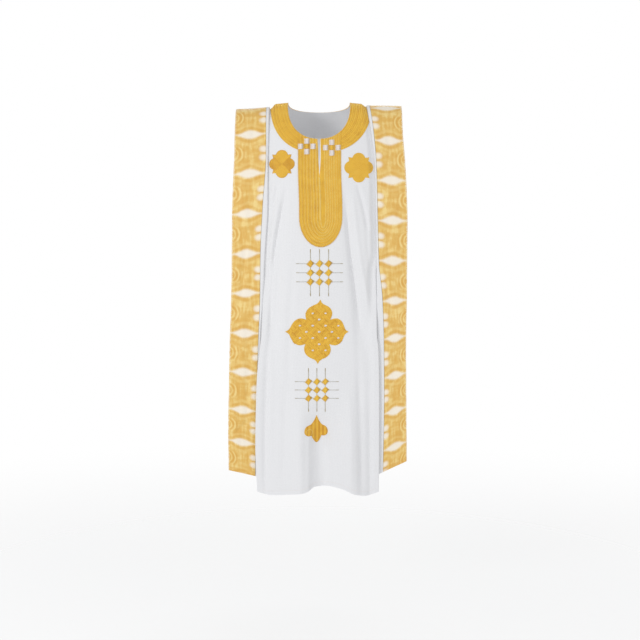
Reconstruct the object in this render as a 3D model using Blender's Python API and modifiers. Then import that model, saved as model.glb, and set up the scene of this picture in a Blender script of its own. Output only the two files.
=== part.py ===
"""Grand boubou robe in its worn form: a white ground with gold neck embroidery, and patterned side wings
folded in layers and carried over the shoulders. Metres, +Z up. The wearer faces -Y, and the origin is in
the middle of the neck opening, level with the shoulder line."""

import math
from collections import namedtuple

import bmesh
import bpy
import numpy as np

# Driving dimensions
ROBE_LENGTH = 1.200  # shoulder line to the hem of front and back
NECK_HALF_WIDTH = 0.0955
NECK_DROP_FRONT = 0.1115
NECK_DROP_BACK = 0.022
SLIT_WIDTH = 0.004  # at the neckline; it narrows to a point
SLIT_FOOT = 0.228  # below the shoulder line
NECK_POWER = 2.3  # how square the rounded neckline is: 2 would be an ellipse
OPENING_TOP = 0.05  # the neck's and the yoke's outlines end this high above the shoulders
SHOULDER_RISE = 0.003  # the shoulder line at the neck, above the origin
SHOULDER_FALL = 0.15  # how fast that line falls outside the neck
GROUND_POWER = 2.4  # how flat the ground stays before it curves back to the sides
SIDE_INSET = 0.004  # how far the white fold's lower layer stops short of the outer fold
LAYER_INSET = 0.003  # how far the wing's hidden layers stop short of its folds
CUTTER_REACH = 0.14  # half the depth of the prisms that cut outlines out of the cloth
CUTTER_CENTRE = 0.13
GROUND_WALL = 0.0012
WING_WALL = 0.0010
STITCH_WALL = 0.0009  # height of the embroidery above the cloth
SEAM_GAP = 0.0003
FOLD_CLEARANCE = 0.0014  # between the embroidery and the folds beside it
LAYER_PITCH = 0.0014  # from one folded layer to the next
WING_LAYERS = 3
EDGE_TURN = 0.014  # width of the turned-back edge of front and back
EDGE_TURN_DEPTH = 0.0036
TONGUE_HALF_WIDTH = 0.065
TONGUE_SPRING = 0.343  # where the tongue's round end starts
TONGUE_FOOT = 0.4395
TONGUE_CENTRE = 0.0015
STEP_WIDTH = 0.022  # how wide the ground slopes down before it passes under a wing
STEP_MARGIN = 0.0125
MIDDLE_COLUMNS = 5  # from the midline to where that slope starts
FADE_START = 0.30  # drop where the shoulder line's slope starts to fade out
NECK_STEPS = 14  # straight runs along the neckline
YOKE_STEPS = 16
TONGUE_STEPS = 8
HEM_START = 0.50  # drop from which rows are moved to meet a hem
ROW_MARGIN = 0.02  # cloth kept above and below an ornament, before it is cut to its outline

# How the cloth hangs: drop below the shoulder line, and how far it stands out from the shoulder line.
Hang = namedtuple("Hang", "drop wing_front wing_back centre_front centre_back")
HANGS = (
    Hang(0.0000, 0.0002, 0.0002, 0.0002, 0.0002),
    Hang(0.0000, 0.0060, 0.0060, 0.0060, 0.0060),
    Hang(0.0035, 0.0210, 0.0210, 0.0200, 0.0200),
    Hang(0.0120, 0.0370, 0.0380, 0.0360, 0.0370),
    Hang(0.0280, 0.0520, 0.0550, 0.0520, 0.0550),
    Hang(0.0520, 0.0650, 0.0710, 0.0680, 0.0730),
    Hang(0.0850, 0.0770, 0.0860, 0.0850, 0.0910),
    Hang(0.1300, 0.0880, 0.1000, 0.1010, 0.1100),
    Hang(0.1900, 0.0990, 0.1125, 0.1160, 0.1265),
    Hang(0.2700, 0.1085, 0.1210, 0.1275, 0.1390),
    Hang(0.3600, 0.1145, 0.1250, 0.1350, 0.1455),
    Hang(0.4500, 0.1180, 0.1260, 0.1380, 0.1475),
    Hang(0.5200, 0.1190, 0.1260, 0.1390, 0.1480),
    Hang(0.5800, 0.1195, 0.1255, 0.1390, 0.1480),
    Hang(0.7000, 0.1205, 0.1245, 0.1390, 0.1480),
    Hang(0.7600, 0.1205, 0.1240, 0.1395, 0.1485),
    Hang(0.8600, 0.1205, 0.1240, 0.1408, 0.1490),
    Hang(1.0900, 0.1198, 0.1232, 0.1445, 0.1504),
    Hang(1.2000, 0.1190, 0.1225, 0.1460, 0.1510),
)

# The folded sides, from the wearer's midline outwards: the white fold, the seam to the wing, the outer fold.
Side = namedtuple("Side", "drop fold seam outer")
SIDES = {
    "left": (
        Side(0.00, 0.1530, 0.1625, 0.2565),
        Side(0.15, 0.1560, 0.1610, 0.2585),
        Side(0.30, 0.1565, 0.1706, 0.2640),
        Side(0.45, 0.1650, 0.1780, 0.2655),
        Side(0.60, 0.1725, 0.1800, 0.2680),
        Side(0.75, 0.1785, 0.1856, 0.2730),
        Side(0.90, 0.1815, 0.1900, 0.2760),
        Side(1.06, 0.1840, 0.1945, 0.2790),
        Side(1.20, 0.1850, 0.1955, 0.2780),
    ),
    "right": (
        Side(0.00, 0.1475, 0.1555, 0.2545),
        Side(0.08, 0.1590, 0.1660, 0.2555),
        Side(0.18, 0.1700, 0.1740, 0.2625),
        Side(0.36, 0.1745, 0.1785, 0.2690),
        Side(0.48, 0.1758, 0.1820, 0.2682),
        Side(0.60, 0.1770, 0.1930, 0.2680),
        Side(0.75, 0.1780, 0.1980, 0.2662),
        Side(0.95, 0.1785, 0.1995, 0.2675),
        Side(1.20, 0.1785, 0.1965, 0.2700),
    ),
}
# Height of the wings' top fold and the drop of their hems, at the seam and at the outer fold.
Wing = namedtuple("Wing", "top_inner top_outer hem_inner hem_outer")
WINGS = {
    "left": Wing(-0.0098, -0.0155, 1.1437, 1.1250),
    "right": Wing(-0.0040, -0.0055, 1.1313, 1.0970),
}

# Half widths of front and back, and how far their edges stand in front of the wing's face.
Edge = namedtuple("Edge", "drop stand left right")
UNDER = -(WING_LAYERS * LAYER_PITCH + WING_WALL + 0.0004)  # the ground laps under the folded side
FRONT_EDGES = (
    Edge(0.00, UNDER, 0.1630, 0.1590),
    Edge(0.08, UNDER, 0.1650, 0.1690),
    Edge(0.15, UNDER, 0.1665, 0.1770),
    Edge(0.30, UNDER, 0.1670, 0.1820),
    Edge(0.45, UNDER, 0.1740, 0.1840),
    Edge(0.52, UNDER, 0.1665, 0.1745),
    Edge(0.58, -0.0030, 0.1695, 0.1750),
    Edge(0.70, 0.0085, 0.1745, 0.1760),
    Edge(0.76, 0.0090, 0.1815, 0.1815),
    Edge(0.84, 0.0090, 0.1895, 0.1835),
    Edge(0.93, 0.0090, 0.1930, 0.1842),
    Edge(1.06, 0.0090, 0.1953, 0.1845),
    Edge(1.20, 0.0090, 0.1900, 0.1835),
)
BACK_EDGES = (
    Edge(0.00, UNDER, 0.1630, 0.1590),
    Edge(0.15, UNDER, 0.1665, 0.1770),
    Edge(0.45, UNDER, 0.1740, 0.1840),
    Edge(0.90, UNDER, 0.1910, 0.1900),
    Edge(1.20, UNDER, 0.1930, 0.1900),
)

# Hem of the front: drop below the shoulder line across its width.
Hem = namedtuple("Hem", "x drop")
FRONT_HEM = (
    Hem(-0.190, 1.190),
    Hem(-0.150, 1.200),
    Hem(-0.066, 1.194),
    Hem(-0.036, 1.188),
    Hem(-0.012, 1.174),
    Hem(0.028, 1.173),
    Hem(0.074, 1.181),
    Hem(0.110, 1.196),
    Hem(0.145, 1.202),
    Hem(0.184, 1.190),
)
BACK_HEM = (Hem(-0.190, 1.192), Hem(0.0, 1.200), Hem(0.190, 1.192))

# Largest folds of the ground: a line from its top to its foot, and how far it stands out (or in, if below 0).
Fold = namedtuple("Fold", "x_top drop_top x_foot drop_foot width rise")
FRONT_FOLDS = (
    Fold(0.000, 0.88, 0.014, 1.20, 0.038, -0.026),
    Fold(-0.060, 0.86, -0.056, 1.20, 0.024, 0.010),
    Fold(0.095, 0.84, 0.105, 1.20, 0.028, 0.010),
    Fold(0.080, 0.28, 0.145, 0.82, 0.018, -0.005),
    Fold(-0.095, 0.24, -0.150, 0.80, 0.018, -0.005),
)
BACK_FOLDS = (
    Fold(-0.080, 0.30, -0.100, 1.20, 0.030, -0.014),
    Fold(0.000, 0.45, 0.005, 1.20, 0.034, 0.012),
    Fold(0.085, 0.30, 0.098, 1.20, 0.030, -0.014),
)

# Half of one lobe of each ornament, as shares of its reach: along the lobe, and across it.
OGEE_LOBE = (
    (1.00, 0.00), (0.92, 0.04), (0.86, 0.11), (0.80, 0.26), (0.71, 0.37), (0.59, 0.42), (0.48, 0.41), (0.39, 0.375)
)
ROUND_LOBE = ((1.00, 0.00), (0.985, 0.14), (0.90, 0.29), (0.77, 0.39), (0.66, 0.43))
ROSETTE_SPIKE = 0.69  # how far the small points between a rosette's lobes reach along both axes
# Half of the small quatrefoil from its tip to its foot, as shares of its reaches: a spire over round side lobes.
SPIRE_HALF = (
    (0.00, 1.00), (0.13, 0.78), (0.28, 0.60), (0.50, 0.45), (0.72, 0.43), (0.91, 0.32), (1.00, 0.08),
    (0.96, -0.17), (0.80, -0.33), (0.58, -0.36), (0.42, -0.31), (0.36, -0.50), (0.24, -0.77), (0.11, -0.94),
    (0.00, -1.00),
)

GOLD = (0.86, 0.56, 0.12, 1.0)
AMBER = (0.87, 0.60, 0.20, 1.0)
WHITE = (0.88, 0.88, 0.88, 1.0)
GREY_GREEN = (0.52, 0.47, 0.30, 1.0)

FRONT, BACK = -1.0, 1.0


def read(table, column, at):
    """The value in a table's column at a place between its rows, the first column being the place."""
    return float(np.interp(at, [row[0] for row in table], [getattr(row, column) for row in table]))


def smooth(share):
    share = min(1.0, max(0.0, share))
    return share * share * (3.0 - 2.0 * share)


def hem_shift(drop, hem):
    """How much lower than its nominal drop a row lies, so that the last one meets the hem."""
    return (hem - ROBE_LENGTH) * max(0.0, drop - HEM_START) / (ROBE_LENGTH - HEM_START)


def outward(face, index):
    """The unit vector (y, z) away from the wearer at a row of the hanging line."""
    column = "wing_front" if face == FRONT else "wing_back"
    above, below = HANGS[max(index - 1, 0)], HANGS[min(index + 1, len(HANGS) - 1)]
    if index == 0:
        below = HANGS[1]
    run = getattr(below, column) - getattr(above, column)
    fall = below.drop - above.drop
    length = math.hypot(run, fall)
    return face * fall / length, run / length


def ground_point(face, side, x, index):
    """A point of the white ground's outer face, at a distance x from the midline and a row of HANGS."""
    hang = HANGS[index]
    edges = FRONT_EDGES if face == FRONT else BACK_EDGES
    hems = FRONT_HEM if face == FRONT else BACK_HEM
    folds = FRONT_FOLDS if face == FRONT else BACK_FOLDS
    sign = -1.0 if side == "left" else 1.0
    edge = read(edges, side, hang.drop)
    centre = hang.centre_front if face == FRONT else hang.centre_back
    wing = hang.wing_front if face == FRONT else hang.wing_back

    out = centre + (wing - centre) * (x / edge) ** GROUND_POWER
    line = SHOULDER_RISE - SHOULDER_FALL * max(0.0, x - NECK_HALF_WIDTH)
    fade = 1.0 - smooth((hang.drop - FADE_START) / FADE_START)
    y, z = face * out, line * fade - hang.drop

    stand = read(edges, "stand", hang.drop)
    away_y, away_z = outward(face, index)
    side_y = face * wing + stand * away_y
    side_z = WINGS[side].top_inner * fade - hang.drop + stand * away_z
    to_side = smooth((x - (edge - STEP_MARGIN - STEP_WIDTH)) / STEP_WIDTH)
    y += (side_y - y) * to_side
    z += (side_z - z) * to_side

    for fold in folds:
        along = (hang.drop - fold.drop_top) / (fold.drop_foot - fold.drop_top)
        middle = fold.x_top + (fold.x_foot - fold.x_top) * along
        grown = smooth(along * 1.6) if fold.drop_foot >= ROBE_LENGTH else math.sin(
            math.pi * min(1.0, max(0.0, along))
        )
        away = (sign * x - middle) / fold.width
        y += face * fold.rise * grown * math.exp(-away * away) * (1.0 - to_side)
    z -= hem_shift(hang.drop, read(hems, "drop", sign * x))
    return sign * x, y, z


def ground_rows(face, rows, with_turns):
    """Rows of points across the front or the back, from the left edge to the right one."""
    edges = FRONT_EDGES if face == FRONT else BACK_EDGES
    grid = []
    for index in rows:
        halves = {}
        for side in ("left", "right"):
            edge = read(edges, side, HANGS[index].drop)
            step = edge - STEP_MARGIN
            across = [*np.linspace(0.0, step - STEP_WIDTH, MIDDLE_COLUMNS), step - STEP_WIDTH / 2, step, edge]
            halves[side] = [ground_point(face, side, float(x), index) for x in across]
        line = [*reversed(halves["left"]), *halves["right"][1:]]
        if with_turns:
            away_y, away_z = outward(face, index)
            for end, inwards in ((0, 1.0), (-1, -1.0)):
                x, y, z = line[end]
                behind = (y - EDGE_TURN_DEPTH * away_y, z - EDGE_TURN_DEPTH * away_z)
                turned = [(x, *behind), (x + inwards * EDGE_TURN, *behind)]
                line = [turned[1], turned[0], *line] if end == 0 else [*line, *turned]
        grid.append(line)
    return grid


def mesh_from_grid(name, grid, outside):
    """An open surface through a grid of points, its faces turned so that their normals agree with outside."""
    mesh = bmesh.new()
    rows = [[mesh.verts.new(point) for point in line] for line in grid]
    for upper, lower in zip(rows, rows[1:]):
        for left in range(len(upper) - 1):
            mesh.faces.new((upper[left], lower[left], lower[left + 1]))
            mesh.faces.new((upper[left], lower[left + 1], upper[left + 1]))
    mesh.normal_update()
    if sum(face.normal.y * face.calc_area() for face in mesh.faces) * outside < 0:
        bmesh.ops.reverse_faces(mesh, faces=mesh.faces[:])
        mesh.normal_update()
    data = bpy.data.meshes.new(name)
    mesh.to_mesh(data)
    mesh.free()
    return data


def moved_out(data, distance):
    """Every point of an open surface moved along its normal, so that the new one lies parallel to it."""
    mesh = bmesh.new()
    mesh.from_mesh(data)
    mesh.normal_update()
    places = [v.co + v.normal * distance * v.calc_shell_factor() for v in mesh.verts]
    for vertex, place in zip(mesh.verts, places):
        vertex.co = place
    mesh.to_mesh(data)
    mesh.free()
    return data


def finish_material(name, colour, roughness):
    material = bpy.data.materials.get(name) or bpy.data.materials.new(name)
    material.use_nodes = True
    shader = material.node_tree.nodes["Principled BSDF"]
    shader.inputs["Base Color"].default_value = colour
    shader.inputs["Roughness"].default_value = roughness
    shader.inputs["Metallic"].default_value = 0.0
    return material


def add_object(name, data, collection, material=None):
    thing = bpy.data.objects.new(name, data)
    collection.objects.link(thing)
    if material is not None:
        data.materials.append(material)
    return thing


def add_wall(thing, thickness, offset):
    solid = thing.modifiers.new("Wall", "SOLIDIFY")
    solid.thickness = thickness
    solid.offset = offset
    solid.use_even_offset = True


def add_boolean(thing, cutter, operation):
    cut = thing.modifiers.new(cutter.name, "BOOLEAN")
    cut.operation = operation
    cut.solver = "EXACT"
    cut.object = cutter


def outline_cutter(name, outlines, face, collection):
    """A prism through the cloth: flat outlines in the front view, given as lists of (x, z), pushed along Y."""
    curve = bpy.data.curves.new(name, "CURVE")
    curve.dimensions = "2D"
    curve.fill_mode = "BOTH"
    curve.extrude = CUTTER_REACH
    for outline in outlines:
        spline = curve.splines.new("POLY")
        spline.points.add(len(outline) - 1)
        for point, (x, z) in zip(spline.points, outline):
            point.co = (x, z, 0.0, 1.0)
        spline.use_cyclic_u = True
    guide = bpy.data.objects.new(name, curve)
    guide.location = (0.0, face * CUTTER_CENTRE, 0.0)
    guide.rotation_euler = (math.pi / 2, 0.0, 0.0)
    collection.objects.link(guide)
    bpy.context.view_layer.update()

    graph = bpy.context.evaluated_depsgraph_get()
    data = bpy.data.meshes.new_from_object(guide.evaluated_get(graph))
    mesh = bmesh.new()
    mesh.from_mesh(data)
    bmesh.ops.remove_doubles(mesh, verts=mesh.verts, dist=0.00002)
    bmesh.ops.recalc_face_normals(mesh, faces=mesh.faces)
    mesh.to_mesh(data)
    mesh.free()
    cutter = bpy.data.objects.new(name, data)
    cutter.matrix_world = guide.matrix_world
    collection.objects.link(cutter)
    bpy.data.objects.remove(guide)
    bpy.data.curves.remove(curve)
    cutter.hide_render = True
    cutter.display_type = "WIRE"
    return cutter


def bowl(half_width, depth, power, steps):
    """The lower half of a rounded outline, from its right end to its left one, as (x, drop)."""
    points = []
    for step in range(steps + 1):
        angle = math.pi * step / steps
        across, down = math.cos(angle), math.sin(angle)
        x = math.copysign(abs(across) ** (2.0 / power), across)
        points.append((half_width * x, depth * max(0.0, down) ** (2.0 / power)))
    return points


def neck_outline(drop, slit):
    """The neck opening, closed well above the shoulders, with the slit below it where there is one."""
    edge = [(x, -down) for x, down in bowl(NECK_HALF_WIDTH, drop, NECK_POWER, NECK_STEPS)]
    if slit:
        middle = len(edge) // 2
        half = SLIT_WIDTH / 2
        edge[middle : middle + 1] = [(half, -drop), (0.0, -SLIT_FOOT), (-half, -drop)]
    return [(NECK_HALF_WIDTH, OPENING_TOP), *edge, (-NECK_HALF_WIDTH, OPENING_TOP)]


def yoke_outline(reach_left, reach_right, depth, neck_drop, tongue):
    """The gold yoke round the neck opening, with the tongue below it on the front."""
    margin = SEAM_GAP
    neckline = bowl(NECK_HALF_WIDTH + margin, neck_drop + margin, NECK_POWER, NECK_STEPS)
    inner = [(x, -down) for x, down in neckline]
    if tongue:
        half = SLIT_WIDTH / 2 + margin
        middle = len(inner) // 2
        inner[middle : middle + 1] = [
            (half, -neck_drop - margin),
            (0.0, -SLIT_FOOT - 0.004),
            (-half, -neck_drop - margin),
        ]
    outer = []
    for x, down in reversed(bowl(1.0, depth, NECK_POWER, YOKE_STEPS)):
        side = "left" if x < 0 else "right"
        reach = reach_left if x < 0 else reach_right
        limit = read(SIDES[side], "fold", down + WINGS[side].top_inner) - FOLD_CLEARANCE
        outer.append((max(-limit, x * reach) if x < 0 else min(limit, x * reach), -down))
    if tongue:
        left = [point for point in outer if point[0] < TONGUE_CENTRE - TONGUE_HALF_WIDTH - 0.002]
        right = [point for point in outer if point[0] > TONGUE_CENTRE + TONGUE_HALF_WIDTH + 0.002]
        tip = []
        for step in range(TONGUE_STEPS + 1):
            angle = math.pi + math.pi * step / TONGUE_STEPS
            across = TONGUE_CENTRE + TONGUE_HALF_WIDTH * math.cos(angle)
            tip.append((across, -TONGUE_SPRING + (TONGUE_FOOT - TONGUE_SPRING) * math.sin(angle)))
        root = [(TONGUE_CENTRE - TONGUE_HALF_WIDTH, left[-1][1]), *tip]
        outer = [*left, *root, (TONGUE_CENTRE + TONGUE_HALF_WIDTH, right[0][1]), *right]
    first, last = (outer[0][0], OPENING_TOP), (outer[-1][0], OPENING_TOP)
    return [first, *outer, last, (inner[0][0], OPENING_TOP), *inner, (inner[-1][0], OPENING_TOP)]


def lobed_outline(x, z, reaches, lobe, spike=0.0):
    """Four lobes round a centre, each half lobe mirrored; reaches are right, top, left and bottom. Round lobes
    are as wide as their own reach says, and pointed ones as the shorter reach beside them."""
    points = []
    for turn, reach in enumerate(reaches):
        angle = turn * math.pi / 2
        along = (math.cos(angle), math.sin(angle))
        across = (-along[1], along[0])
        beside = (reaches[(turn - 1) % 4], reaches[(turn + 1) % 4])
        side = reach if lobe is ROUND_LOBE else min(beside)
        whole = [(u, -v) for u, v in reversed(lobe)] + list(lobe[1:])
        for u, v in whole:
            right = along[0] * u * reach + across[0] * v * side
            up = along[1] * u * reach + across[1] * v * side
            points.append((x + right, z + up))
        if spike:
            out = spike * (reach + beside[1]) / 2
            points.append((x + (along[0] + across[0]) * out, z + (along[1] + across[1]) * out))
    return points


def spire_outline(x, z, reaches):
    """The small quatrefoil, both its halves alike but for their reaches, which are right, top, left and bottom."""
    right, top, left, bottom = reaches
    half = [(u, v * (top if v > 0 else bottom)) for u, v in SPIRE_HALF]
    points = [(x + u * right, z + v) for u, v in half]
    return points + [(x - u * left, z + v) for u, v in half[-2:0:-1]]


def lattice_outlines(x, z, pitch, half, arm, line):
    """Nine diamonds joined by thin lines that run on past them: the outer outline and the four gaps."""
    short = half - line
    outer = []
    for turn in range(4):
        angle = turn * math.pi / 2
        cos, sin = round(math.cos(angle)), round(math.sin(angle))
        run = []
        for column in (1, 0, -1):
            at = column * pitch
            run += [(at + short, pitch + line)] if column < 1 else []
            run += [(at + line, pitch + short), (at + line, arm), (at - line, arm), (at - line, pitch + short)]
            run += [(at - short, pitch + line)] if column > -1 else []
        outer += [(x + u * cos - v * sin, z + u * sin + v * cos) for u, v in run]
    gaps = []
    for u0 in (-pitch, 0.0):
        for v0 in (-pitch, 0.0):
            u1, v1 = u0 + pitch, v0 + pitch
            gap = [
                (u0 + short, v0 + line), (u1 - short, v0 + line), (u1 - line, v0 + short),
                (u1 - line, v1 - short), (u1 - short, v1 - line), (u0 + short, v1 - line),
                (u0 + line, v1 - short), (u0 + line, v0 + short),
            ]
            gaps.append([(x + u, z + v) for u, v in gap])
    return [outer, *gaps]


def make_ground(name, face, collection, cutters):
    """The front or the back of the white ground, cut out for the neck, its side edges turned back."""
    grid = ground_rows(face, range(len(HANGS)), with_turns=True)
    thing = add_object(
        name, mesh_from_grid(name, grid, face), collection, finish_material("ground_white", WHITE, 0.6)
    )
    add_wall(thing, GROUND_WALL, -1.0)
    drop = NECK_DROP_FRONT if face == FRONT else NECK_DROP_BACK
    cutter = outline_cutter(name + "_neck", [neck_outline(drop, face == FRONT)], face, cutters)
    add_boolean(thing, cutter, "DIFFERENCE")
    return thing


def make_stitching(name, face, outlines, material, collection, cutters):
    """An ornament on the ground: the ground's own rows moved out, kept only inside the outlines."""
    heights = [z for outline in outlines for _, z in outline]
    first = max(k for k, hang in enumerate(HANGS) if k == 0 or hang.drop < -max(heights) - ROW_MARGIN)
    last = min(k for k, hang in enumerate(HANGS) if hang.drop > -min(heights) + ROW_MARGIN)
    rows = range(first, last + 1)
    data = mesh_from_grid(name, ground_rows(face, rows, with_turns=False), face)
    moved_out(data, SEAM_GAP + STITCH_WALL)
    thing = add_object(name, data, collection, material)
    add_wall(thing, STITCH_WALL, -1.0)
    add_boolean(thing, outline_cutter(name + "_outline", outlines, face, cutters), "INTERSECT")
    return thing


def folded_side(name, side, section, material, wall, collection):
    """Cloth folded across and carried from the front hem over the shoulder to the back hem. section gives,
    for a drop, the points across it as (distance from the midline, depth below the wing's face)."""
    sign = -1.0 if side == "left" else 1.0
    wing = WINGS[side]
    stations = [(FRONT, k) for k in range(len(HANGS) - 1, 0, -1)] + [(BACK, k) for k in range(1, len(HANGS))]
    grid = []
    for face, index in stations:
        hang = HANGS[index]
        out = hang.wing_front if face == FRONT else hang.wing_back
        away_y, away_z = outward(face, index)
        seam = read(SIDES[side], "seam", hang.drop)
        outer = read(SIDES[side], "outer", hang.drop)
        line = []
        for x, depth in section(hang.drop):
            share = (x - seam) / (outer - seam)
            top = wing.top_inner + (wing.top_outer - wing.top_inner) * share
            hem = wing.hem_inner + (wing.hem_outer - wing.hem_inner) * share
            z = top - hang.drop - hem_shift(hang.drop, hem + top)
            line.append((sign * x, face * out - depth * away_y, z - depth * away_z))
        grid.append(line)
    data = bpy.data.meshes.new(name)
    mesh = bmesh.new()
    rows = [[mesh.verts.new(point) for point in line] for line in grid]
    for here, onward in zip(rows, rows[1:]):
        for k in range(len(here) - 1):
            mesh.faces.new((here[k], here[k + 1], onward[k + 1], onward[k]))
    mesh.to_mesh(data)
    mesh.free()
    thing = add_object(name, data, collection, material)
    add_wall(thing, wall, 0.0)
    return thing


def make_wing(side, collection):
    """Golden cloth in three layers: out from the seam, back under it, and out again."""

    def section(drop):
        seam = read(SIDES[side], "seam", drop) + WING_WALL / 2
        outer = read(SIDES[side], "outer", drop) - WING_WALL / 2
        points = []
        for layer in range(WING_LAYERS):
            depth = WING_WALL / 2 + layer * LAYER_PITCH
            inner = seam if layer == 0 else seam + LAYER_INSET
            far = outer if layer < WING_LAYERS - 1 else outer - LAYER_INSET
            points += [(inner, depth), (far, depth)] if layer % 2 == 0 else [(far, depth), (inner, depth)]
        return points

    material = finish_material("wing_gold", AMBER, 0.5)
    return folded_side("wing_" + side, side, section, material, WING_WALL, collection)


def make_side_fold(side, collection):
    """White cloth below the wing's layers, turned round its inner edge to meet the wing at the seam."""

    def section(drop):
        fold = read(SIDES[side], "fold", drop) + WING_WALL / 2
        seam = read(SIDES[side], "seam", drop) - SEAM_GAP
        outer = read(SIDES[side], "outer", drop) - SIDE_INSET
        face, below = WING_WALL / 2, WING_WALL / 2 + WING_LAYERS * LAYER_PITCH
        return [(seam, face), (fold, face), (fold, below), (outer, below)]

    material = finish_material("ground_white", WHITE, 0.6)
    return folded_side("side_fold_" + side, side, section, material, WING_WALL, collection)


def make_collection(name):
    collection = bpy.data.collections.new(name)
    bpy.context.scene.collection.children.link(collection)
    return collection


def main():
    for thing in list(bpy.data.objects):
        bpy.data.objects.remove(thing)
    robe = make_collection("grand_boubou_robe")
    cutters = make_collection("cutters")
    gold = finish_material("stitching_gold", GOLD, 0.45)
    thread = finish_material("stitching_grey", GREY_GREEN, 0.5)

    make_ground("front_panel", FRONT, robe, cutters)
    make_ground("back_panel", BACK, robe, cutters)
    for side in ("left", "right"):
        make_side_fold(side, robe)
        make_wing(side, robe)

    front_yoke = yoke_outline(0.150, 0.162, 0.156, NECK_DROP_FRONT, tongue=True)
    make_stitching("front_embroidery", FRONT, [front_yoke], gold, robe, cutters)
    back_yoke = yoke_outline(0.150, 0.150, 0.076, NECK_DROP_BACK, tongue=False)
    make_stitching("back_yoke", BACK, [back_yoke], gold, robe, cutters)

    ornaments = (
        ("rosette_left", lobed_outline(-0.1125, -0.1885, (0.0390, 0.0425) * 2, ROUND_LOBE, ROSETTE_SPIKE)),
        ("rosette_right", lobed_outline(0.1205, -0.1995, (0.0440, 0.0450) * 2, ROUND_LOBE, ROSETTE_SPIKE)),
        ("quatrefoil_large", lobed_outline(-0.0065, -0.6965, (0.0965, 0.0980) * 2, OGEE_LOBE)),
        ("quatrefoil_small", spire_outline(-0.0075, -0.9990, (0.0345, 0.0470, 0.0375, 0.0385))),
    )
    for name, outline in ornaments:
        make_stitching(name, FRONT, [outline], gold, robe, cutters)
    upper = lattice_outlines(0.0015, -0.5170, 0.0275, 0.0112, 0.0700, 0.0010)
    lower = lattice_outlines(-0.0065, -0.8740, 0.0255, 0.0106, 0.0660, 0.0010)
    make_stitching("lattice_upper", FRONT, upper, thread, robe, cutters)
    make_stitching("lattice_lower", FRONT, lower, thread, robe, cutters)


main()
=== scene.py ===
"""Looks of the grand boubou robe: white ground with folded edges, patterned side wings in layers, and gold
satin embroidery stitched in rows. Metres, +Z up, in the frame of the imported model."""

import math
from collections import namedtuple

import bmesh
import bpy
import numpy as np
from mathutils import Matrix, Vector
from mathutils.geometry import delaunay_2d_cdt


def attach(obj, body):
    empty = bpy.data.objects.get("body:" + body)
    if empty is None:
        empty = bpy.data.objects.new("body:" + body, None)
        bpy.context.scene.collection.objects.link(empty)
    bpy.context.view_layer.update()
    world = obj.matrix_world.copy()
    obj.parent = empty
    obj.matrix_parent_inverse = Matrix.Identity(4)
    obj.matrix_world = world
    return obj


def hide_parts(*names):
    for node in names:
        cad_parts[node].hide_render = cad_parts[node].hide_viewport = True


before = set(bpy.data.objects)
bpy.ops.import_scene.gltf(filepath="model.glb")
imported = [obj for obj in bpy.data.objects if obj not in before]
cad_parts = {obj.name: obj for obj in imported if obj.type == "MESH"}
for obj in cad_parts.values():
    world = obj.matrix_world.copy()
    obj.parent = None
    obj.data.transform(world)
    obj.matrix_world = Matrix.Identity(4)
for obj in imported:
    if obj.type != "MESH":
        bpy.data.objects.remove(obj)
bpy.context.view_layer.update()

bl_info = {
    "name": "Grand Boubou Robe",
    "version": (1, 0, 0),
    "blender": (4, 5, 0),
    "location": "View3D > Sidebar > Boubou",
    "description": "Builds the cloth, the embroidery and the studio of a grand boubou robe",
    "category": "Object",
}

BODY = "root"

# Cut of the robe. The slope at the sides and the shoulder line's fall are this script's own.
ROBE_LENGTH = 1.200
NECK_HALF_WIDTH = 0.0955
NECK_DROP = {"front": 0.1115, "back": 0.022}
SLIT_WIDTH = 0.004
SLIT_FOOT = 0.228
NECK_POWER = 2.3  # how square the rounded neckline is
WING_WALL = 0.0010
LAYER_PITCH = 0.0014
WING_LAYERS = 3
EDGE_TURN = 0.014
EDGE_ROLL = 0.0018  # radius of the turned edge
GROUND_POWER = 2.4  # how flat the ground stays before it curves back to the sides
STEP_WIDTH = 0.018
STEP_MARGIN = 0.0125
FADE_START = 0.30
HEM_START = 0.50
SHOULDER_RISE = 0.003
SHOULDER_FALL = 0.10  # how fast the shoulder line falls outside the neck
FOLD_CLEARANCE = 0.0014
OUT = {"front": -1.0, "back": 1.0}

# How the cloth hangs: drop below the shoulder line, and how far it stands out from that line.
Hang = namedtuple("Hang", "drop wing_front wing_back centre_front centre_back")
HANGS = (
    Hang(0.0000, 0.0002, 0.0002, 0.0002, 0.0002),
    Hang(0.0000, 0.0060, 0.0060, 0.0060, 0.0060),
    Hang(0.0035, 0.0210, 0.0210, 0.0200, 0.0200),
    Hang(0.0120, 0.0370, 0.0380, 0.0360, 0.0370),
    Hang(0.0280, 0.0520, 0.0550, 0.0520, 0.0550),
    Hang(0.0520, 0.0650, 0.0710, 0.0680, 0.0730),
    Hang(0.0850, 0.0770, 0.0860, 0.0850, 0.0910),
    Hang(0.1300, 0.0880, 0.1000, 0.1010, 0.1100),
    Hang(0.1900, 0.0990, 0.1125, 0.1160, 0.1265),
    Hang(0.2700, 0.1085, 0.1210, 0.1275, 0.1390),
    Hang(0.3600, 0.1145, 0.1250, 0.1350, 0.1455),
    Hang(0.4500, 0.1180, 0.1260, 0.1380, 0.1475),
    Hang(0.5200, 0.1190, 0.1260, 0.1390, 0.1480),
    Hang(0.5800, 0.1195, 0.1255, 0.1390, 0.1480),
    Hang(0.7000, 0.1205, 0.1245, 0.1390, 0.1480),
    Hang(0.7600, 0.1205, 0.1240, 0.1395, 0.1485),
    Hang(0.8600, 0.1205, 0.1240, 0.1408, 0.1490),
    Hang(1.0900, 0.1198, 0.1232, 0.1445, 0.1504),
    Hang(1.2000, 0.1190, 0.1225, 0.1460, 0.1510),
)

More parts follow.
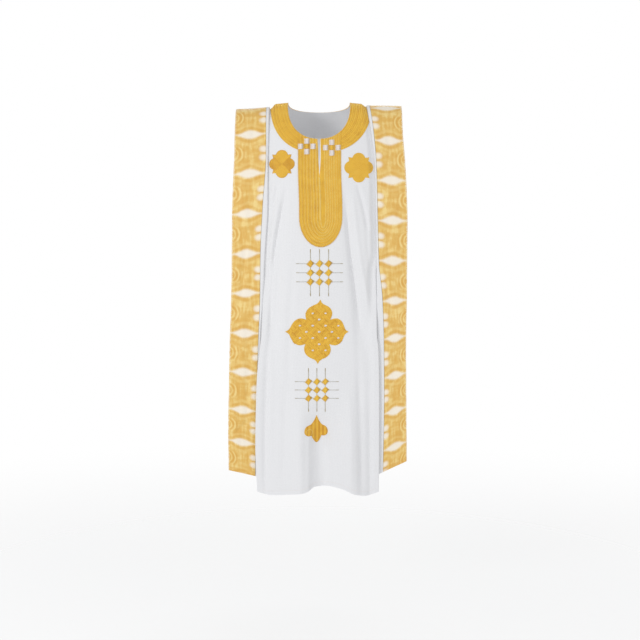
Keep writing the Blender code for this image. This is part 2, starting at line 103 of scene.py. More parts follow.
# The folded sides, from the wearer's midline outwards: the white fold, the seam to the wing, the outer fold.
Side = namedtuple("Side", "drop fold seam outer")
SIDES = {
    "left": (
        Side(0.00, 0.1530, 0.1625, 0.2565),
        Side(0.15, 0.1560, 0.1610, 0.2585),
        Side(0.30, 0.1565, 0.1706, 0.2640),
        Side(0.45, 0.1650, 0.1780, 0.2655),
        Side(0.60, 0.1725, 0.1800, 0.2680),
        Side(0.75, 0.1785, 0.1856, 0.2730),
        Side(0.90, 0.1815, 0.1900, 0.2760),
        Side(1.06, 0.1840, 0.1945, 0.2790),
        Side(1.20, 0.1850, 0.1955, 0.2780),
    ),
    "right": (
        Side(0.00, 0.1475, 0.1555, 0.2545),
        Side(0.08, 0.1590, 0.1660, 0.2555),
        Side(0.18, 0.1700, 0.1740, 0.2625),
        Side(0.36, 0.1745, 0.1785, 0.2690),
        Side(0.48, 0.1758, 0.1820, 0.2682),
        Side(0.60, 0.1770, 0.1930, 0.2680),
        Side(0.75, 0.1780, 0.1980, 0.2662),
        Side(0.95, 0.1785, 0.1995, 0.2675),
        Side(1.20, 0.1785, 0.1965, 0.2700),
    ),
}
Wing = namedtuple("Wing", "top_inner top_outer hem_inner hem_outer")
WINGS = {
    "left": Wing(-0.0098, -0.0155, 1.1437, 1.1250),
    "right": Wing(-0.0040, -0.0055, 1.1313, 1.0970),
}

# Half widths of front and back, and how far their edges stand in front of the wing's face.
Edge = namedtuple("Edge", "drop stand left right")
UNDER = -(WING_LAYERS * LAYER_PITCH + WING_WALL + 0.0004)
EDGES = {
    "front": (
        Edge(0.00, UNDER, 0.1630, 0.1590),
        Edge(0.08, UNDER, 0.1650, 0.1690),
        Edge(0.15, UNDER, 0.1665, 0.1770),
        Edge(0.30, UNDER, 0.1670, 0.1820),
        Edge(0.45, UNDER, 0.1740, 0.1840),
        Edge(0.52, UNDER, 0.1665, 0.1745),
        Edge(0.58, -0.0030, 0.1695, 0.1750),
        Edge(0.70, 0.0085, 0.1745, 0.1760),
        Edge(0.76, 0.0090, 0.1815, 0.1815),
        Edge(0.84, 0.0090, 0.1895, 0.1835),
        Edge(0.93, 0.0090, 0.1930, 0.1842),
        Edge(1.06, 0.0090, 0.1953, 0.1845),
        Edge(1.20, 0.0090, 0.1900, 0.1835),
    ),
    "back": (
        Edge(0.00, UNDER, 0.1630, 0.1590),
        Edge(0.15, UNDER, 0.1665, 0.1770),
        Edge(0.45, UNDER, 0.1740, 0.1840),
        Edge(0.90, UNDER, 0.1910, 0.1900),
        Edge(1.20, UNDER, 0.1930, 0.1900),
    ),
}

# Drop of the hems across the width.
Hem = namedtuple("Hem", "x drop")
HEMS = {
    "front": (
        Hem(-0.190, 1.190),
        Hem(-0.150, 1.200),
        Hem(-0.066, 1.194),
        Hem(-0.036, 1.188),
        Hem(-0.012, 1.174),
        Hem(0.028, 1.173),
        Hem(0.074, 1.181),
        Hem(0.110, 1.196),
        Hem(0.145, 1.202),
        Hem(0.184, 1.190),
    ),
    "back": (Hem(-0.190, 1.192), Hem(0.0, 1.200), Hem(0.190, 1.192)),
}

# Folds and creases of the ground: a line from top to foot that bows sideways, and how far it stands out.
# A fold runs on into the hem, and a crease dies away at both ends.
Fold = namedtuple("Fold", "x_top drop_top x_foot drop_foot width rise bow")
FOLDS = {
    "front": (
        Fold(0.000, 0.88, 0.014, 1.20, 0.038, -0.0260, 0.0),
        Fold(-0.060, 0.86, -0.056, 1.20, 0.024, 0.0100, 0.0),
        Fold(0.095, 0.84, 0.105, 1.20, 0.028, 0.0100, 0.0),
        Fold(0.080, 0.28, 0.145, 0.82, 0.018, -0.0063, 0.0),
        Fold(-0.095, 0.24, -0.150, 0.80, 0.018, -0.0063, 0.0),
        Fold(-0.094, 0.24, -0.152, 0.74, 0.0060, -0.0074, -0.016),
        Fold(-0.082, 0.27, -0.112, 0.56, 0.0080, 0.0023, -0.006),
        Fold(-0.122, 0.23, -0.160, 0.46, 0.0055, -0.0056, -0.003),
        Fold(-0.072, 0.44, -0.092, 0.92, 0.0100, -0.0020, -0.008),
        Fold(-0.152, 0.74, -0.165, 1.24, 0.0070, -0.0043, -0.006),
        Fold(-0.140, 0.60, -0.147, 1.10, 0.0090, 0.0020, -0.006),
        Fold(-0.105, 0.84, -0.112, 1.18, 0.0100, -0.0023, 0.004),
        Fold(0.076, 0.25, 0.132, 0.72, 0.0062, -0.0066, -0.006),
        Fold(0.100, 0.25, 0.160, 0.66, 0.0060, 0.0030, -0.008),
        Fold(0.112, 0.24, 0.150, 0.40, 0.0055, -0.0046, 0.004),
        Fold(0.092, 0.44, 0.128, 0.98, 0.0090, -0.0023, 0.006),
        Fold(0.142, 0.34, 0.160, 0.60, 0.0060, -0.0020, 0.0),
        Fold(0.118, 0.80, 0.128, 1.24, 0.0085, -0.0040, 0.004),
        Fold(0.090, 0.86, 0.092, 1.24, 0.0100, 0.0020, 0.006),
        Fold(0.150, 0.74, 0.158, 1.20, 0.0070, -0.0026, 0.0),
        Fold(0.046, 0.92, 0.066, 1.24, 0.0120, -0.0026, 0.006),
        Fold(-0.030, 0.98, -0.033, 1.24, 0.0080, 0.0036, 0.0),
    ),
    "back": (
        Fold(-0.080, 0.30, -0.100, 1.20, 0.030, -0.0140, 0.0),
        Fold(0.000, 0.45, 0.005, 1.20, 0.034, 0.0120, 0.0),
        Fold(0.085, 0.30, 0.098, 1.20, 0.030, -0.0140, 0.0),
        Fold(-0.110, 0.08, -0.062, 0.40, 0.0090, -0.0049, 0.008),
        Fold(0.112, 0.09, 0.058, 0.44, 0.0090, -0.0045, -0.010),
        Fold(-0.046, 0.14, -0.052, 0.70, 0.0100, -0.0045, -0.006),
        Fold(0.040, 0.16, 0.046, 0.62, 0.0090, 0.0039, 0.005),
        Fold(-0.132, 0.34, -0.146, 0.98, 0.0080, -0.0049, -0.006),
        Fold(0.134, 0.30, 0.150, 0.90, 0.0080, -0.0054, 0.008),
        Fold(-0.018, 0.62, -0.030, 1.24, 0.0100, -0.0049, 0.0),
        Fold(0.056, 0.66, 0.062, 1.24, 0.0090, 0.0045, 0.006),
        Fold(0.128, 0.82, 0.134, 1.24, 0.0090, -0.0054, 0.0),
        Fold(-0.136, 0.86, -0.140, 1.24, 0.0080, 0.0045, 0.0),
    ),
}

# Creases of the folded wings: from one place to another, as a share of their width and a drop.
Crease = namedtuple("Crease", "share_top drop_top share_foot drop_foot width rise")
WING_CREASES = {
    ("left", "front"): (
        Crease(0.30, 0.02, 0.55, 0.16, 0.008, -0.0014),
        Crease(0.70, 0.20, 0.40, 0.48, 0.010, 0.0016),
        Crease(0.46, 0.36, 0.72, 0.66, 0.007, -0.0016),
        Crease(0.62, 0.60, 0.46, 0.94, 0.010, 0.0018),
        Crease(0.30, 0.78, 0.36, 1.10, 0.008, -0.0018),
        Crease(0.15, 1.00, 0.98, 1.09, 0.007, -0.0022),
        Crease(0.80, 0.92, 0.70, 1.16, 0.009, 0.0016),
    ),
    ("right", "front"): (
        Crease(0.35, 0.02, 0.62, 0.20, 0.008, -0.0014),
        Crease(0.75, 0.12, 0.50, 0.44, 0.009, 0.0014),
        Crease(0.30, 0.30, 0.45, 0.56, 0.008, -0.0014),
        Crease(0.12, 0.53, 0.62, 0.74, 0.007, -0.0034),
        Crease(0.34, 0.58, 0.80, 0.80, 0.010, 0.0022),
        Crease(0.50, 0.72, 0.44, 1.04, 0.009, -0.0016),
        Crease(0.76, 0.84, 0.66, 1.14, 0.009, 0.0016),
    ),
    ("left", "back"): (
        Crease(0.40, 0.04, 0.66, 0.30, 0.009, -0.0016),
        Crease(0.64, 0.28, 0.42, 0.60, 0.010, 0.0018),
        Crease(0.30, 0.52, 0.58, 0.84, 0.008, -0.0020),
        Crease(0.70, 0.78, 0.54, 1.14, 0.010, 0.0018),
    ),
    ("right", "back"): (
        Crease(0.36, 0.05, 0.58, 0.34, 0.009, -0.0016),
        Crease(0.70, 0.24, 0.52, 0.58, 0.010, 0.0016),
        Crease(0.28, 0.50, 0.50, 0.80, 0.008, -0.0020),
        Crease(0.62, 0.74, 0.74, 1.14, 0.010, 0.0018),
    ),
}

# Heights of the pale lenses down the front of each wing.
LENSES = {
    "left": (-0.098, -0.2175, -0.339, -0.4605, -0.580, -0.702, -0.822, -0.938, -1.038),
    "right": (-0.117, -0.238, -0.3595, -0.4815, -0.603, -0.716, -0.832, -0.940, -1.051),
}
LENS_PITCH = 0.1205

GROUND_COLUMNS = 96
TURN_COLUMNS = 5
GROUND_ROWS = 340
WING_ROWS = 520
BISECTIONS = 26
PROBE = 0.0005  # step for slopes measured on the cloth
SHARP_ANGLE = math.radians(50)

# Heights above the cloth, and the thickness of the backing under the stitches.
BACKING_LIFT = 0.0006
BACKING_THICKNESS = 0.0003
STITCH_LIFT = 0.0007
LINE_LIFT = 0.0012
DIAMOND_LIFT = 0.0011
UPPER_STITCH_LIFT = 0.0013  # stitches that lie on other stitches
SQUARE_LIFT = 0.0014
HEM_STITCH_LIFT = 0.0002
# Painted shade: the backing shows only in the gaps between stitches and is painted a darker gold than the
# rows.
BACKING_PAINTED_SHADE = 0.30


class SmoothTable:
    """A smooth curve through a table's values that doesn't overshoot them."""

    def __init__(self, places, values):
        self.places = np.asarray(places, float)
        self.values = np.asarray(values, float)
        slopes = np.diff(self.values) / np.diff(self.places)
        before, after = slopes[:-1], slopes[1:]
        alike = before * after > 0
        total = np.where(alike, before + after, 1.0)
        inner = np.where(alike, 2.0 * before * after / total, 0.0)
        self.slopes = np.concatenate([slopes[:1], inner, slopes[-1:]])

    def __call__(self, at):
        at = np.clip(at, self.places[0], self.places[-1])
        low = np.clip(np.searchsorted(self.places, at, side="right") - 1, 0, len(self.places) - 2)
        width = self.places[low + 1] - self.places[low]
        t = (at - self.places[low]) / width
        start, end = self.values[low], self.values[low + 1]
        leave, arrive = self.slopes[low] * width, self.slopes[low + 1] * width
        bend = (2 * start + leave - 2 * end + arrive) * t + (3 * end - 3 * start - 2 * leave - arrive)
        return start + leave * t + bend * t * t


def smooth(share):
    share = np.clip(share, 0.0, 1.0)
    return share * share * (3.0 - 2.0 * share)


def table_curve(table, column):
    return SmoothTable([row[0] for row in table], [getattr(row, column) for row in table])


def rows_along_cloth():
    """How far down the cloth each row of HANGS lies, measured from the shoulder line."""
    out = [sum(hang[1:]) / 4 for hang in HANGS]
    steps = np.hypot(np.diff(out), np.diff([hang.drop for hang in HANGS]))
    return np.concatenate([[0.0], np.cumsum(steps)])


RUNS = rows_along_cloth()
RUN_END = float(RUNS[-1])
HANG_CURVES = {column: SmoothTable(RUNS, [getattr(h, column) for h in HANGS]) for column in Hang._fields}
SIDE_CURVES = {
    side: {column: table_curve(SIDES[side], column) for column in ("fold", "seam", "outer")}
    for side in SIDES
}
EDGE_CURVES = {
    face: {column: table_curve(EDGES[face], column) for column in ("stand", "left", "right")}
    for face in EDGES
}
HEM_CURVES = {face: table_curve(HEMS[face], "drop") for face in HEMS}


def hem_shift(drop, hem):
    """How much lower than its nominal drop the cloth lies, so that it ends at the hem."""
    return (hem - ROBE_LENGTH) * np.maximum(0.0, drop - HEM_START) / (ROBE_LENGTH - HEM_START)


def away_from_wearer(face, run):
    """The unit vector (y, z) square to the hanging line."""
    above, below = np.maximum(run - PROBE, 0.0), np.minimum(run + PROBE, RUN_END)
    fall = HANG_CURVES["drop"](below) - HANG_CURVES["drop"](above)
    reach = HANG_CURVES["wing_" + face](below) - HANG_CURVES["wing_" + face](above)
    length = np.hypot(fall, reach)
    return OUT[face] * fall / length, reach / length


def shoulder_fade(drop):
    return 1.0 - smooth((drop - FADE_START) / FADE_START)


def edge_of_ground(face, x, drop):
    return np.where(x < 0, EDGE_CURVES[face]["left"](drop), EDGE_CURVES[face]["right"](drop))


def ground(face, x, run):
    """Points of the white ground's outer face, x from the midline and run down the cloth from the
    shoulder."""
    x, run = np.broadcast_arrays(np.asarray(x, float), np.asarray(run, float))
    drop = HANG_CURVES["drop"](run)
    edge = edge_of_ground(face, x, drop)
    centre, wing = HANG_CURVES["centre_" + face](run), HANG_CURVES["wing_" + face](run)
    out = centre + (wing - centre) * (np.abs(x) / edge) ** GROUND_POWER
    line = SHOULDER_RISE - SHOULDER_FALL * np.maximum(0.0, np.abs(x) - NECK_HALF_WIDTH)
    fade = shoulder_fade(drop)
    y, z = OUT[face] * out, line * fade - drop

    stand = EDGE_CURVES[face]["stand"](drop)
    away_y, away_z = away_from_wearer(face, run)
    top = np.where(x < 0, WINGS["left"].top_inner, WINGS["right"].top_inner)
    to_side = smooth((np.abs(x) - (edge - STEP_MARGIN - STEP_WIDTH)) / STEP_WIDTH)
    y = y + (OUT[face] * wing + stand * away_y - y) * to_side
    z = z + (top * fade - drop + stand * away_z - z) * to_side

    for fold in FOLDS[face]:
        along = (drop - fold.drop_top) / (fold.drop_foot - fold.drop_top)
        arch = np.sin(math.pi * np.clip(along, 0.0, 1.0))
        grown = smooth(along * 1.6) if fold.drop_foot == ROBE_LENGTH else smooth(arch * 1.4)
        middle = fold.x_top + (fold.x_foot - fold.x_top) * along + fold.bow * arch
        away = (x - middle) / fold.width
        y = y + OUT[face] * fold.rise * grown * np.exp(-away * away) * (1.0 - to_side)
    z = z - hem_shift(drop, HEM_CURVES[face](x))
    return np.stack([x, y, z], axis=-1)


def run_at_height(face, x, z):
    """How far down the cloth the point lies that is seen at (x, z) from straight ahead."""
    low, high = np.zeros_like(x), np.full_like(x, RUN_END)
    for _ in range(BISECTIONS):
        middle = (low + high) / 2
        above = ground(face, x, middle)[..., 2] > z
        low, high = np.where(above, middle, low), np.where(above, high, middle)
    return (low + high) / 2


def ground_normal(face, x, run):
    across = ground(face, x + PROBE, run) - ground(face, x - PROBE, run)
    down = ground(face, x, np.minimum(run + PROBE, RUN_END)) - ground(face, x, np.maximum(run - PROBE, 0.0))
    normal = np.cross(down, across) if face == "front" else np.cross(across, down)
    return normal / np.linalg.norm(normal, axis=-1, keepdims=True)


def on_ground(face, places, lift):
    """Points (x, z) seen from straight ahead, laid on the cloth and lifted off it, and the cloth's
    normals."""
    places = np.asarray(places, float)
    run = run_at_height(face, places[:, 0], places[:, 1])
    normal = ground_normal(face, places[:, 0], run)
    return ground(face, places[:, 0], run) + normal * lift, normal


def folded_cloth(side, signed_run, x, depth):
    """Points of the folded side: signed_run is below 0 down the front and above 0 down the back, x is the
    distance from the midline, and depth lies under the wing's face."""
    sign = -1.0 if side == "left" else 1.0
    run = np.abs(signed_run)
    drop = HANG_CURVES["drop"](run)
    seam, outer = SIDE_CURVES[side]["seam"](drop), SIDE_CURVES[side]["outer"](drop)
    share = (x - seam) / (outer - seam)
    y, z = np.zeros_like(x), np.zeros_like(x)
    wing = WINGS[side]
    for face in ("front", "back"):
        here = signed_run < 0 if face == "front" else signed_run >= 0
        away_y, away_z = away_from_wearer(face, run)
        stand = -depth
        for crease in WING_CREASES[side, face]:
            along = (drop - crease.drop_top) / (crease.drop_foot - crease.drop_top)
            middle = crease.share_top + (crease.share_foot - crease.share_top) * along
            away = (share - middle) * (outer - seam) / crease.width
            grown = np.sin(math.pi * np.clip(along, 0.0, 1.0)) * smooth(share * 5.0)
            stand = stand + crease.rise * grown * np.exp(-away * away)
        y = np.where(here, OUT[face] * HANG_CURVES["wing_" + face](run) + stand * away_y, y)
        z = np.where(here, stand * away_z, z)
    top = wing.top_inner + (wing.top_outer - wing.top_inner) * share
    hem = wing.hem_inner + (wing.hem_outer - wing.hem_inner) * share
    z = z + top - drop - hem_shift(drop, hem + top)
    return np.stack([sign * x, y, z], axis=-1)


def grid_mesh(name, points, coordinates, flip):
    """A mesh through a grid of points, with a UV map for each entry of coordinates."""
    rows, columns = points.shape[:2]
    index = np.arange(rows * columns).reshape(rows, columns)
    corners = [index[:-1, :-1], index[1:, :-1], index[1:, 1:], index[:-1, 1:]]
    faces = np.stack(corners[::-1] if flip else corners, axis=-1).reshape(-1, 4)
    data = bpy.data.meshes.new(name)
    data.from_pydata(points.reshape(-1, 3).tolist(), [], faces.tolist())
    for label, values in coordinates.items():
        layer = data.uv_layers.new(name=label)
        layer.data.foreach_set("uv", values.reshape(-1, 2)[faces.reshape(-1)].reshape(-1))
    data.shade_smooth()
    return data


def add_piece(name, data, material):
    piece = bpy.data.objects.new(name, data)
    bpy.context.scene.collection.objects.link(piece)
    data.materials.clear()
    data.materials.append(material)
    return piece


def applied(piece):
    """The piece with its modifiers turned into plain mesh."""
    graph = bpy.context.evaluated_depsgraph_get()
    data = bpy.data.meshes.new_from_object(piece.evaluated_get(graph))
    piece.modifiers.clear()
    piece.data = data
    return piece


def give_wall(piece, thickness, offset=-1.0):
    wall = piece.modifiers.new("Wall", "SOLIDIFY")
    wall.thickness = thickness
    wall.offset = offset
    return applied(piece)


def hand_over(piece, slot, *nodes):
    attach(piece, BODY)
    if nodes:
        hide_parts(*nodes)


# Colours and finishes.


def sizes():
    return bpy.context.scene.boubou_sizes


def colours():
    return bpy.context.scene.boubou_colours


def wire(tree, kind, inputs=None, **settings):
    """A new node, its settings made and its inputs set to values or joined to sockets."""
    made = tree.nodes.new(kind)
    for name, value in settings.items():
        setattr(made, name, value)
    for socket, value in (inputs or {}).items():
        if isinstance(value, bpy.types.NodeSocket):
            tree.links.new(value, made.inputs[socket])
        else:
            made.inputs[socket].default_value = value
    return made


def calc(tree, operation, *values):
    return wire(tree, "ShaderNodeMath", dict(enumerate(values)), operation=operation).outputs[0]


def ramp(tree, value, start, end):
    """0 before start, 1 past end, and a soft rise between them; start may be above end."""
    inputs = {"Value": value, "From Min": start, "From Max": end}
    return wire(tree, "ShaderNodeMapRange", inputs, interpolation_type="SMOOTHSTEP").outputs["Result"]


def band(tree, value, middle, half):
    """1 at the middle, falling softly to 0 at half on each side."""
    return ramp(tree, calc(tree, "ABSOLUTE", calc(tree, "SUBTRACT", value, middle)), half, half * 0.15)


def hypotenuse(tree, across, up):
    squares = (calc(tree, "POWER", across, 2.0), calc(tree, "POWER", up, 2.0))
    return calc(tree, "SQRT", calc(tree, "ADD", *squares))


def mixed(tree, factor, first, second):
    made = wire(tree, "ShaderNodeMix", data_type="RGBA")
    for socket, value in ((made.inputs["Factor"], factor), (made.inputs[6], first), (made.inputs[7], second)):
        if isinstance(value, bpy.types.NodeSocket):
            tree.links.new(value, socket)
        else:
            socket.default_value = value
    return made.outputs[2]


def noise(tree, vector, scale, detail=3.0, stretch=(1.0, 1.0, 1.0)):
    place = wire(tree, "ShaderNodeMapping", {"Vector": vector, "Scale": stretch})
    inputs = {"Vector": place.outputs[0], "Scale": scale, "Detail": detail}
    return wire(tree, "ShaderNodeTexNoise", inputs).outputs["Fac"]


def group_of(name, inputs, outputs):
    """An empty shader node group with its sockets, its input node and its output node."""
    tree = bpy.data.node_groups.new(name, "ShaderNodeTree")
    for label, kind, value in inputs:
        socket = tree.interface.new_socket(label, in_out="INPUT", socket_type=kind)
        if value is not None:
            socket.default_value = value
    for label, kind in outputs:
        tree.interface.new_socket(label, in_out="OUTPUT", socket_type=kind)
    return tree, tree.nodes.new("NodeGroupInput"), tree.nodes.new("NodeGroupOutput")


def weave_group():
    """Plain weave: crossing threads with slubs in them."""
    name = "plain_weave"
    if name in bpy.data.node_groups:
        return bpy.data.node_groups[name]
    tree, given, result = group_of(
        name,
        (("Vector", "NodeSocketVector", None), ("Threads", "NodeSocketFloat", 1500.0)),
        (("Height", "NodeSocketFloat"), ("Tone", "NodeSocketFloat")),
    )
    turns = calc(tree, "MULTIPLY", given.outputs["Threads"], math.pi)
    split = wire(tree, "ShaderNodeSeparateXYZ", {0: given.outputs["Vector"]})
    warp = calc(tree, "SINE", calc(tree, "MULTIPLY", split.outputs[0], turns))
    weft = calc(tree, "SINE", calc(tree, "MULTIPLY", split.outputs[1], turns))
    cloth = calc(tree, "MULTIPLY", warp, weft)
    slub = noise(tree, given.outputs["Vector"], 220.0, 2.0, (6.0, 1.0, 1.0))
    tree.links.new(calc(tree, "ADD", calc(tree, "ABSOLUTE", cloth), slub), result.inputs["Height"])
    tree.links.new(calc(tree, "MULTIPLY_ADD", slub, 0.10, 0.95), result.inputs["Tone"])
    return tree


def crumple_group():
    """Soft puckers of worn cloth, longer down the cloth than across it."""
    name = "soft_puckers"
    if name in bpy.data.node_groups:
        return bpy.data.node_groups[name]
    tree, given, result = group_of(
        name,
        (("Vector", "NodeSocketVector", None), ("Scale", "NodeSocketFloat", 9.0)),
        (("Height", "NodeSocketFloat"),),
    )
    broad = noise(tree, given.outputs["Vector"], given.outputs["Scale"], 2.0, (1.6, 1.6, 0.5))
    fine = noise(tree, given.outputs["Vector"], calc(tree, "MULTIPLY", given.outputs["Scale"], 5.0), 2.0)
    tree.links.new(calc(tree, "MULTIPLY_ADD", fine, 0.16, broad), result.inputs["Height"])
    return tree


def wing_pattern_group():
    """Resist-dyed damask: a pale lens at each whole step up the cloth, hourglass fields of gold between them,
    pale petals by the inner edge and light arcs by the outer one."""
    name = "lens_damask"
    if name in bpy.data.node_groups:
        return bpy.data.node_groups[name]
    colour = "NodeSocketColor"
    tree, given, result = group_of(
        name,
        (
            ("Pattern", "NodeSocketVector", None),
            ("Rim", "NodeSocketVector", None),
            ("Ground", colour, (0.8, 0.5, 0.1, 1.0)),
            ("Pale", colour, (0.9, 0.85, 0.7, 1.0)),
            ("Light", colour, (0.9, 0.7, 0.25, 1.0)),
            ("Brown", colour, (0.5, 0.25, 0.05, 1.0)),
        ),
        (("Color", colour), ("Height", "NodeSocketFloat")),
    )
    pattern, ground_colour = given.outputs["Pattern"], given.outputs["Ground"]
    pale, light, brown = given.outputs["Pale"], given.outputs["Light"], given.outputs["Brown"]
    stir = noise(tree, pattern, 2.2, 3.0, (1.4, 1.0, 1.0))
    sway = calc(tree, "MULTIPLY_ADD", stir, 0.06, -0.03)
    split = wire(tree, "ShaderNodeSeparateXYZ", {0: pattern})
    across = calc(tree, "SUBTRACT", calc(tree, "FRACT", split.outputs[0]), 0.5)
    step = calc(tree, "FRACT", calc(tree, "ADD", calc(tree, "ADD", split.outputs[1], sway), 0.5))
    up = calc(tree, "ABSOLUTE", calc(tree, "SUBTRACT", step, 0.5))

    strokes = noise(tree, pattern, 3.0, 4.0, (3.2, 0.9, 1.0))
    cross = noise(tree, pattern, 2.3, 3.0, (1.1, 2.6, 1.0))
    shade = calc(tree, "ADD", strokes, cross)
    base = mixed(tree, ramp(tree, shade, 0.90, 1.32), ground_colour, light)
    base = mixed(tree, calc(tree, "MULTIPLY", ramp(tree, shade, 0.98, 0.66), 0.55), base, brown)

    arch = calc(tree, "POWER", calc(tree, "COSINE", calc(tree, "MULTIPLY", across, math.pi)), 1.9)
    half = calc(tree, "MULTIPLY_ADD", arch, 0.104, 0.010)
    past = calc(tree, "SUBTRACT", up, half)
    base = mixed(tree, calc(tree, "MULTIPLY", band(tree, past, 0.070, 0.050), 0.30), base, brown)
    base = mixed(tree, calc(tree, "MULTIPLY", band(tree, past, 0.140, 0.060), 0.30), base, light)

    # Light arcs and brown shadows between them, centred just outside the outer edge, half-way between lenses.
    side = calc(tree, "MULTIPLY", calc(tree, "SUBTRACT", across, 0.56), 0.094)
    rise = calc(tree, "MULTIPLY", calc(tree, "SUBTRACT", up, 0.5), LENS_PITCH)
    reach = hypotenuse(tree, side, rise)
    close = ramp(tree, calc(tree, "ABSOLUTE", rise), 0.030, 0.012)
    for radius, half_width, weight, tint in (
        (0.0350, 0.0040, 0.45, brown),
        (0.0290, 0.0036, 0.85, light),
        (0.0225, 0.0042, 0.62, brown),
        (0.0165, 0.0030, 0.60, light),
        (0.0100, 0.0040, 0.50, brown),
    ):
        weighed = calc(tree, "MULTIPLY", close, weight)
        arc = calc(tree, "MULTIPLY", band(tree, reach, radius, half_width), weighed)
        base = mixed(tree, arc, base, tint)

    # Pale petals above and below a thin dark tick at the inner edge.
    petal_x = calc(tree, "DIVIDE", calc(tree, "ADD", across, 0.43), 0.150)
    petal_z = calc(tree, "DIVIDE", calc(tree, "SUBTRACT", up, 0.395), 0.090)
    petal = hypotenuse(tree, petal_x, petal_z)
    base = mixed(tree, calc(tree, "MULTIPLY", ramp(tree, petal, 1.35, 0.35), 0.85), base, pale)
    tick = calc(tree, "MULTIPLY", ramp(tree, up, 0.482, 0.494), ramp(tree, across, -0.34, -0.40))
    base = mixed(tree, calc(tree, "MULTIPLY", tick, 0.60), base, brown)

    lens = ramp(tree, past, 0.040, -0.048)
    base = mixed(tree, calc(tree, "MULTIPLY", lens, 0.92), base, pale)
    flecks = noise(tree, given.outputs["Rim"], 420.0, 1.0)
    selvedge = calc(tree, "MULTIPLY", ramp(tree, across, 0.455, 0.485), ramp(tree, flecks, 0.48, 0.56))
    base = mixed(tree, calc(tree, "MULTIPLY", selvedge, 0.75), base, pale)
    # Painted shade along the folded hem: the cloth turns towards brown within 13 to 17 mm of the hem.
    rim = wire(tree, "ShaderNodeSeparateXYZ", {0: given.outputs["Rim"]})
    base = mixed(tree, calc(tree, "MULTIPLY", ramp(tree, rim.outputs[0], 0.017, 0.013), 0.35), base, brown)
    tree.links.new(base, result.inputs["Color"])
    tree.links.new(calc(tree, "MULTIPLY_ADD", strokes, 0.4, lens), result.inputs["Height"])
    return tree


def new_material(name):
    """An empty material and its Principled shader."""
    material = bpy.data.materials.new(name)
    material.use_nodes = True
    tree = material.node_tree
    tree.nodes.clear()
    shader = wire(tree, "ShaderNodeBsdfPrincipled")
    wire(tree, "ShaderNodeOutputMaterial", {"Surface": shader.outputs[0]})
    return material, tree, shader


def bump(tree, shader, layers):
    """Bump nodes one on another, from (height socket, strength, distance)."""
    normal = None
    for height, strength, distance in layers:
        inputs = {"Height": height, "Strength": strength, "Distance": distance}
        if normal is not None:
            inputs["Normal"] = normal
        normal = wire(tree, "ShaderNodeBump", inputs).outputs[0]
    tree.links.new(normal, shader.inputs["Normal"])


def grouped(tree, group, inputs):
    return wire(tree, "ShaderNodeGroup", inputs, node_tree=group)


def ground_material():
    """White cotton damask, matt, with a fine weave and soft puckers."""
    if "white_cotton" in bpy.data.materials:
        return bpy.data.materials["white_cotton"]
    material, tree, shader = new_material("white_cotton")
    cloth = wire(tree, "ShaderNodeUVMap", uv_map="cloth").outputs[0]
    place = wire(tree, "ShaderNodeTexCoord").outputs["Object"]
    weave = grouped(tree, weave_group(), {"Vector": cloth, "Threads": sizes().ground_threads})
    puckers = grouped(tree, crumple_group(), {"Vector": place, "Scale": 8.0})
    split = wire(tree, "ShaderNodeSeparateXYZ", {0: cloth})
    turns = calc(tree, "MULTIPLY", split.outputs[0], 2.0 * math.pi / sizes().ground_stripe)
    stripe = calc(tree, "SINE", turns)
    white = (*colours().ground, 1.0)
    shadow = tuple(0.90 * c for c in colours().ground) + (1.0,)
    base = mixed(tree, calc(tree, "MULTIPLY_ADD", stripe, 0.07, 0.07), white, shadow)
    base = mixed(tree, ramp(tree, weave.outputs["Tone"], 1.02, 0.97), base, shadow)
    tree.links.new(base, shader.inputs["Base Color"])
    tree.links.new(calc(tree, "MULTIPLY_ADD", stripe, 0.05, 0.72), shader.inputs["Roughness"])
    shader.inputs["Specular IOR Level"].default_value = 0.25
    shader.inputs["Sheen Weight"].default_value = 0.08
    layers = ((puckers.outputs[0], 0.35, 0.010), (weave.outputs["Height"], 0.25, 0.0002))
    bump(tree, shader, layers)
    return material


def wing_material():
    """Resist-dyed golden damask with a soft satin gloss."""
    if "golden_damask" in bpy.data.materials:
        return bpy.data.materials["golden_damask"]
    material, tree, shader = new_material("golden_damask")
    pattern = wire(tree, "ShaderNodeUVMap", uv_map="pattern").outputs[0]
    rim = wire(tree, "ShaderNodeUVMap", uv_map="rim").outputs[0]
    place = wire(tree, "ShaderNodeTexCoord").outputs["Object"]
    tints = colours()
    cloth = grouped(
        tree,
        wing_pattern_group(),
        {
            "Pattern": pattern,
            "Rim": rim,
            "Ground": (*tints.wing_ground, 1.0),
            "Pale": (*tints.wing_pale, 1.0),
            "Light": (*tints.wing_light, 1.0),
            "Brown": (*tints.wing_brown, 1.0),
        },
    )
    weave = grouped(tree, weave_group(), {"Vector": rim, "Threads": sizes().wing_threads})
    puckers = grouped(tree, crumple_group(), {"Vector": place, "Scale": 14.0})
    tree.links.new(cloth.outputs["Color"], shader.inputs["Base Color"])
    gloss = calc(tree, "MULTIPLY_ADD", cloth.outputs["Height"], 0.10, 0.42)
    tree.links.new(gloss, shader.inputs["Roughness"])
    shader.inputs["Specular IOR Level"].default_value = 0.35
    shader.inputs["Sheen Weight"].default_value = 0.10
    layers = (
        (puckers.outputs[0], 0.40, 0.008),
        (cloth.outputs["Height"], 0.20, 0.0006),
        (weave.outputs["Height"], 0.30, 0.0002),
    )
    bump(tree, shader, layers)
    return material


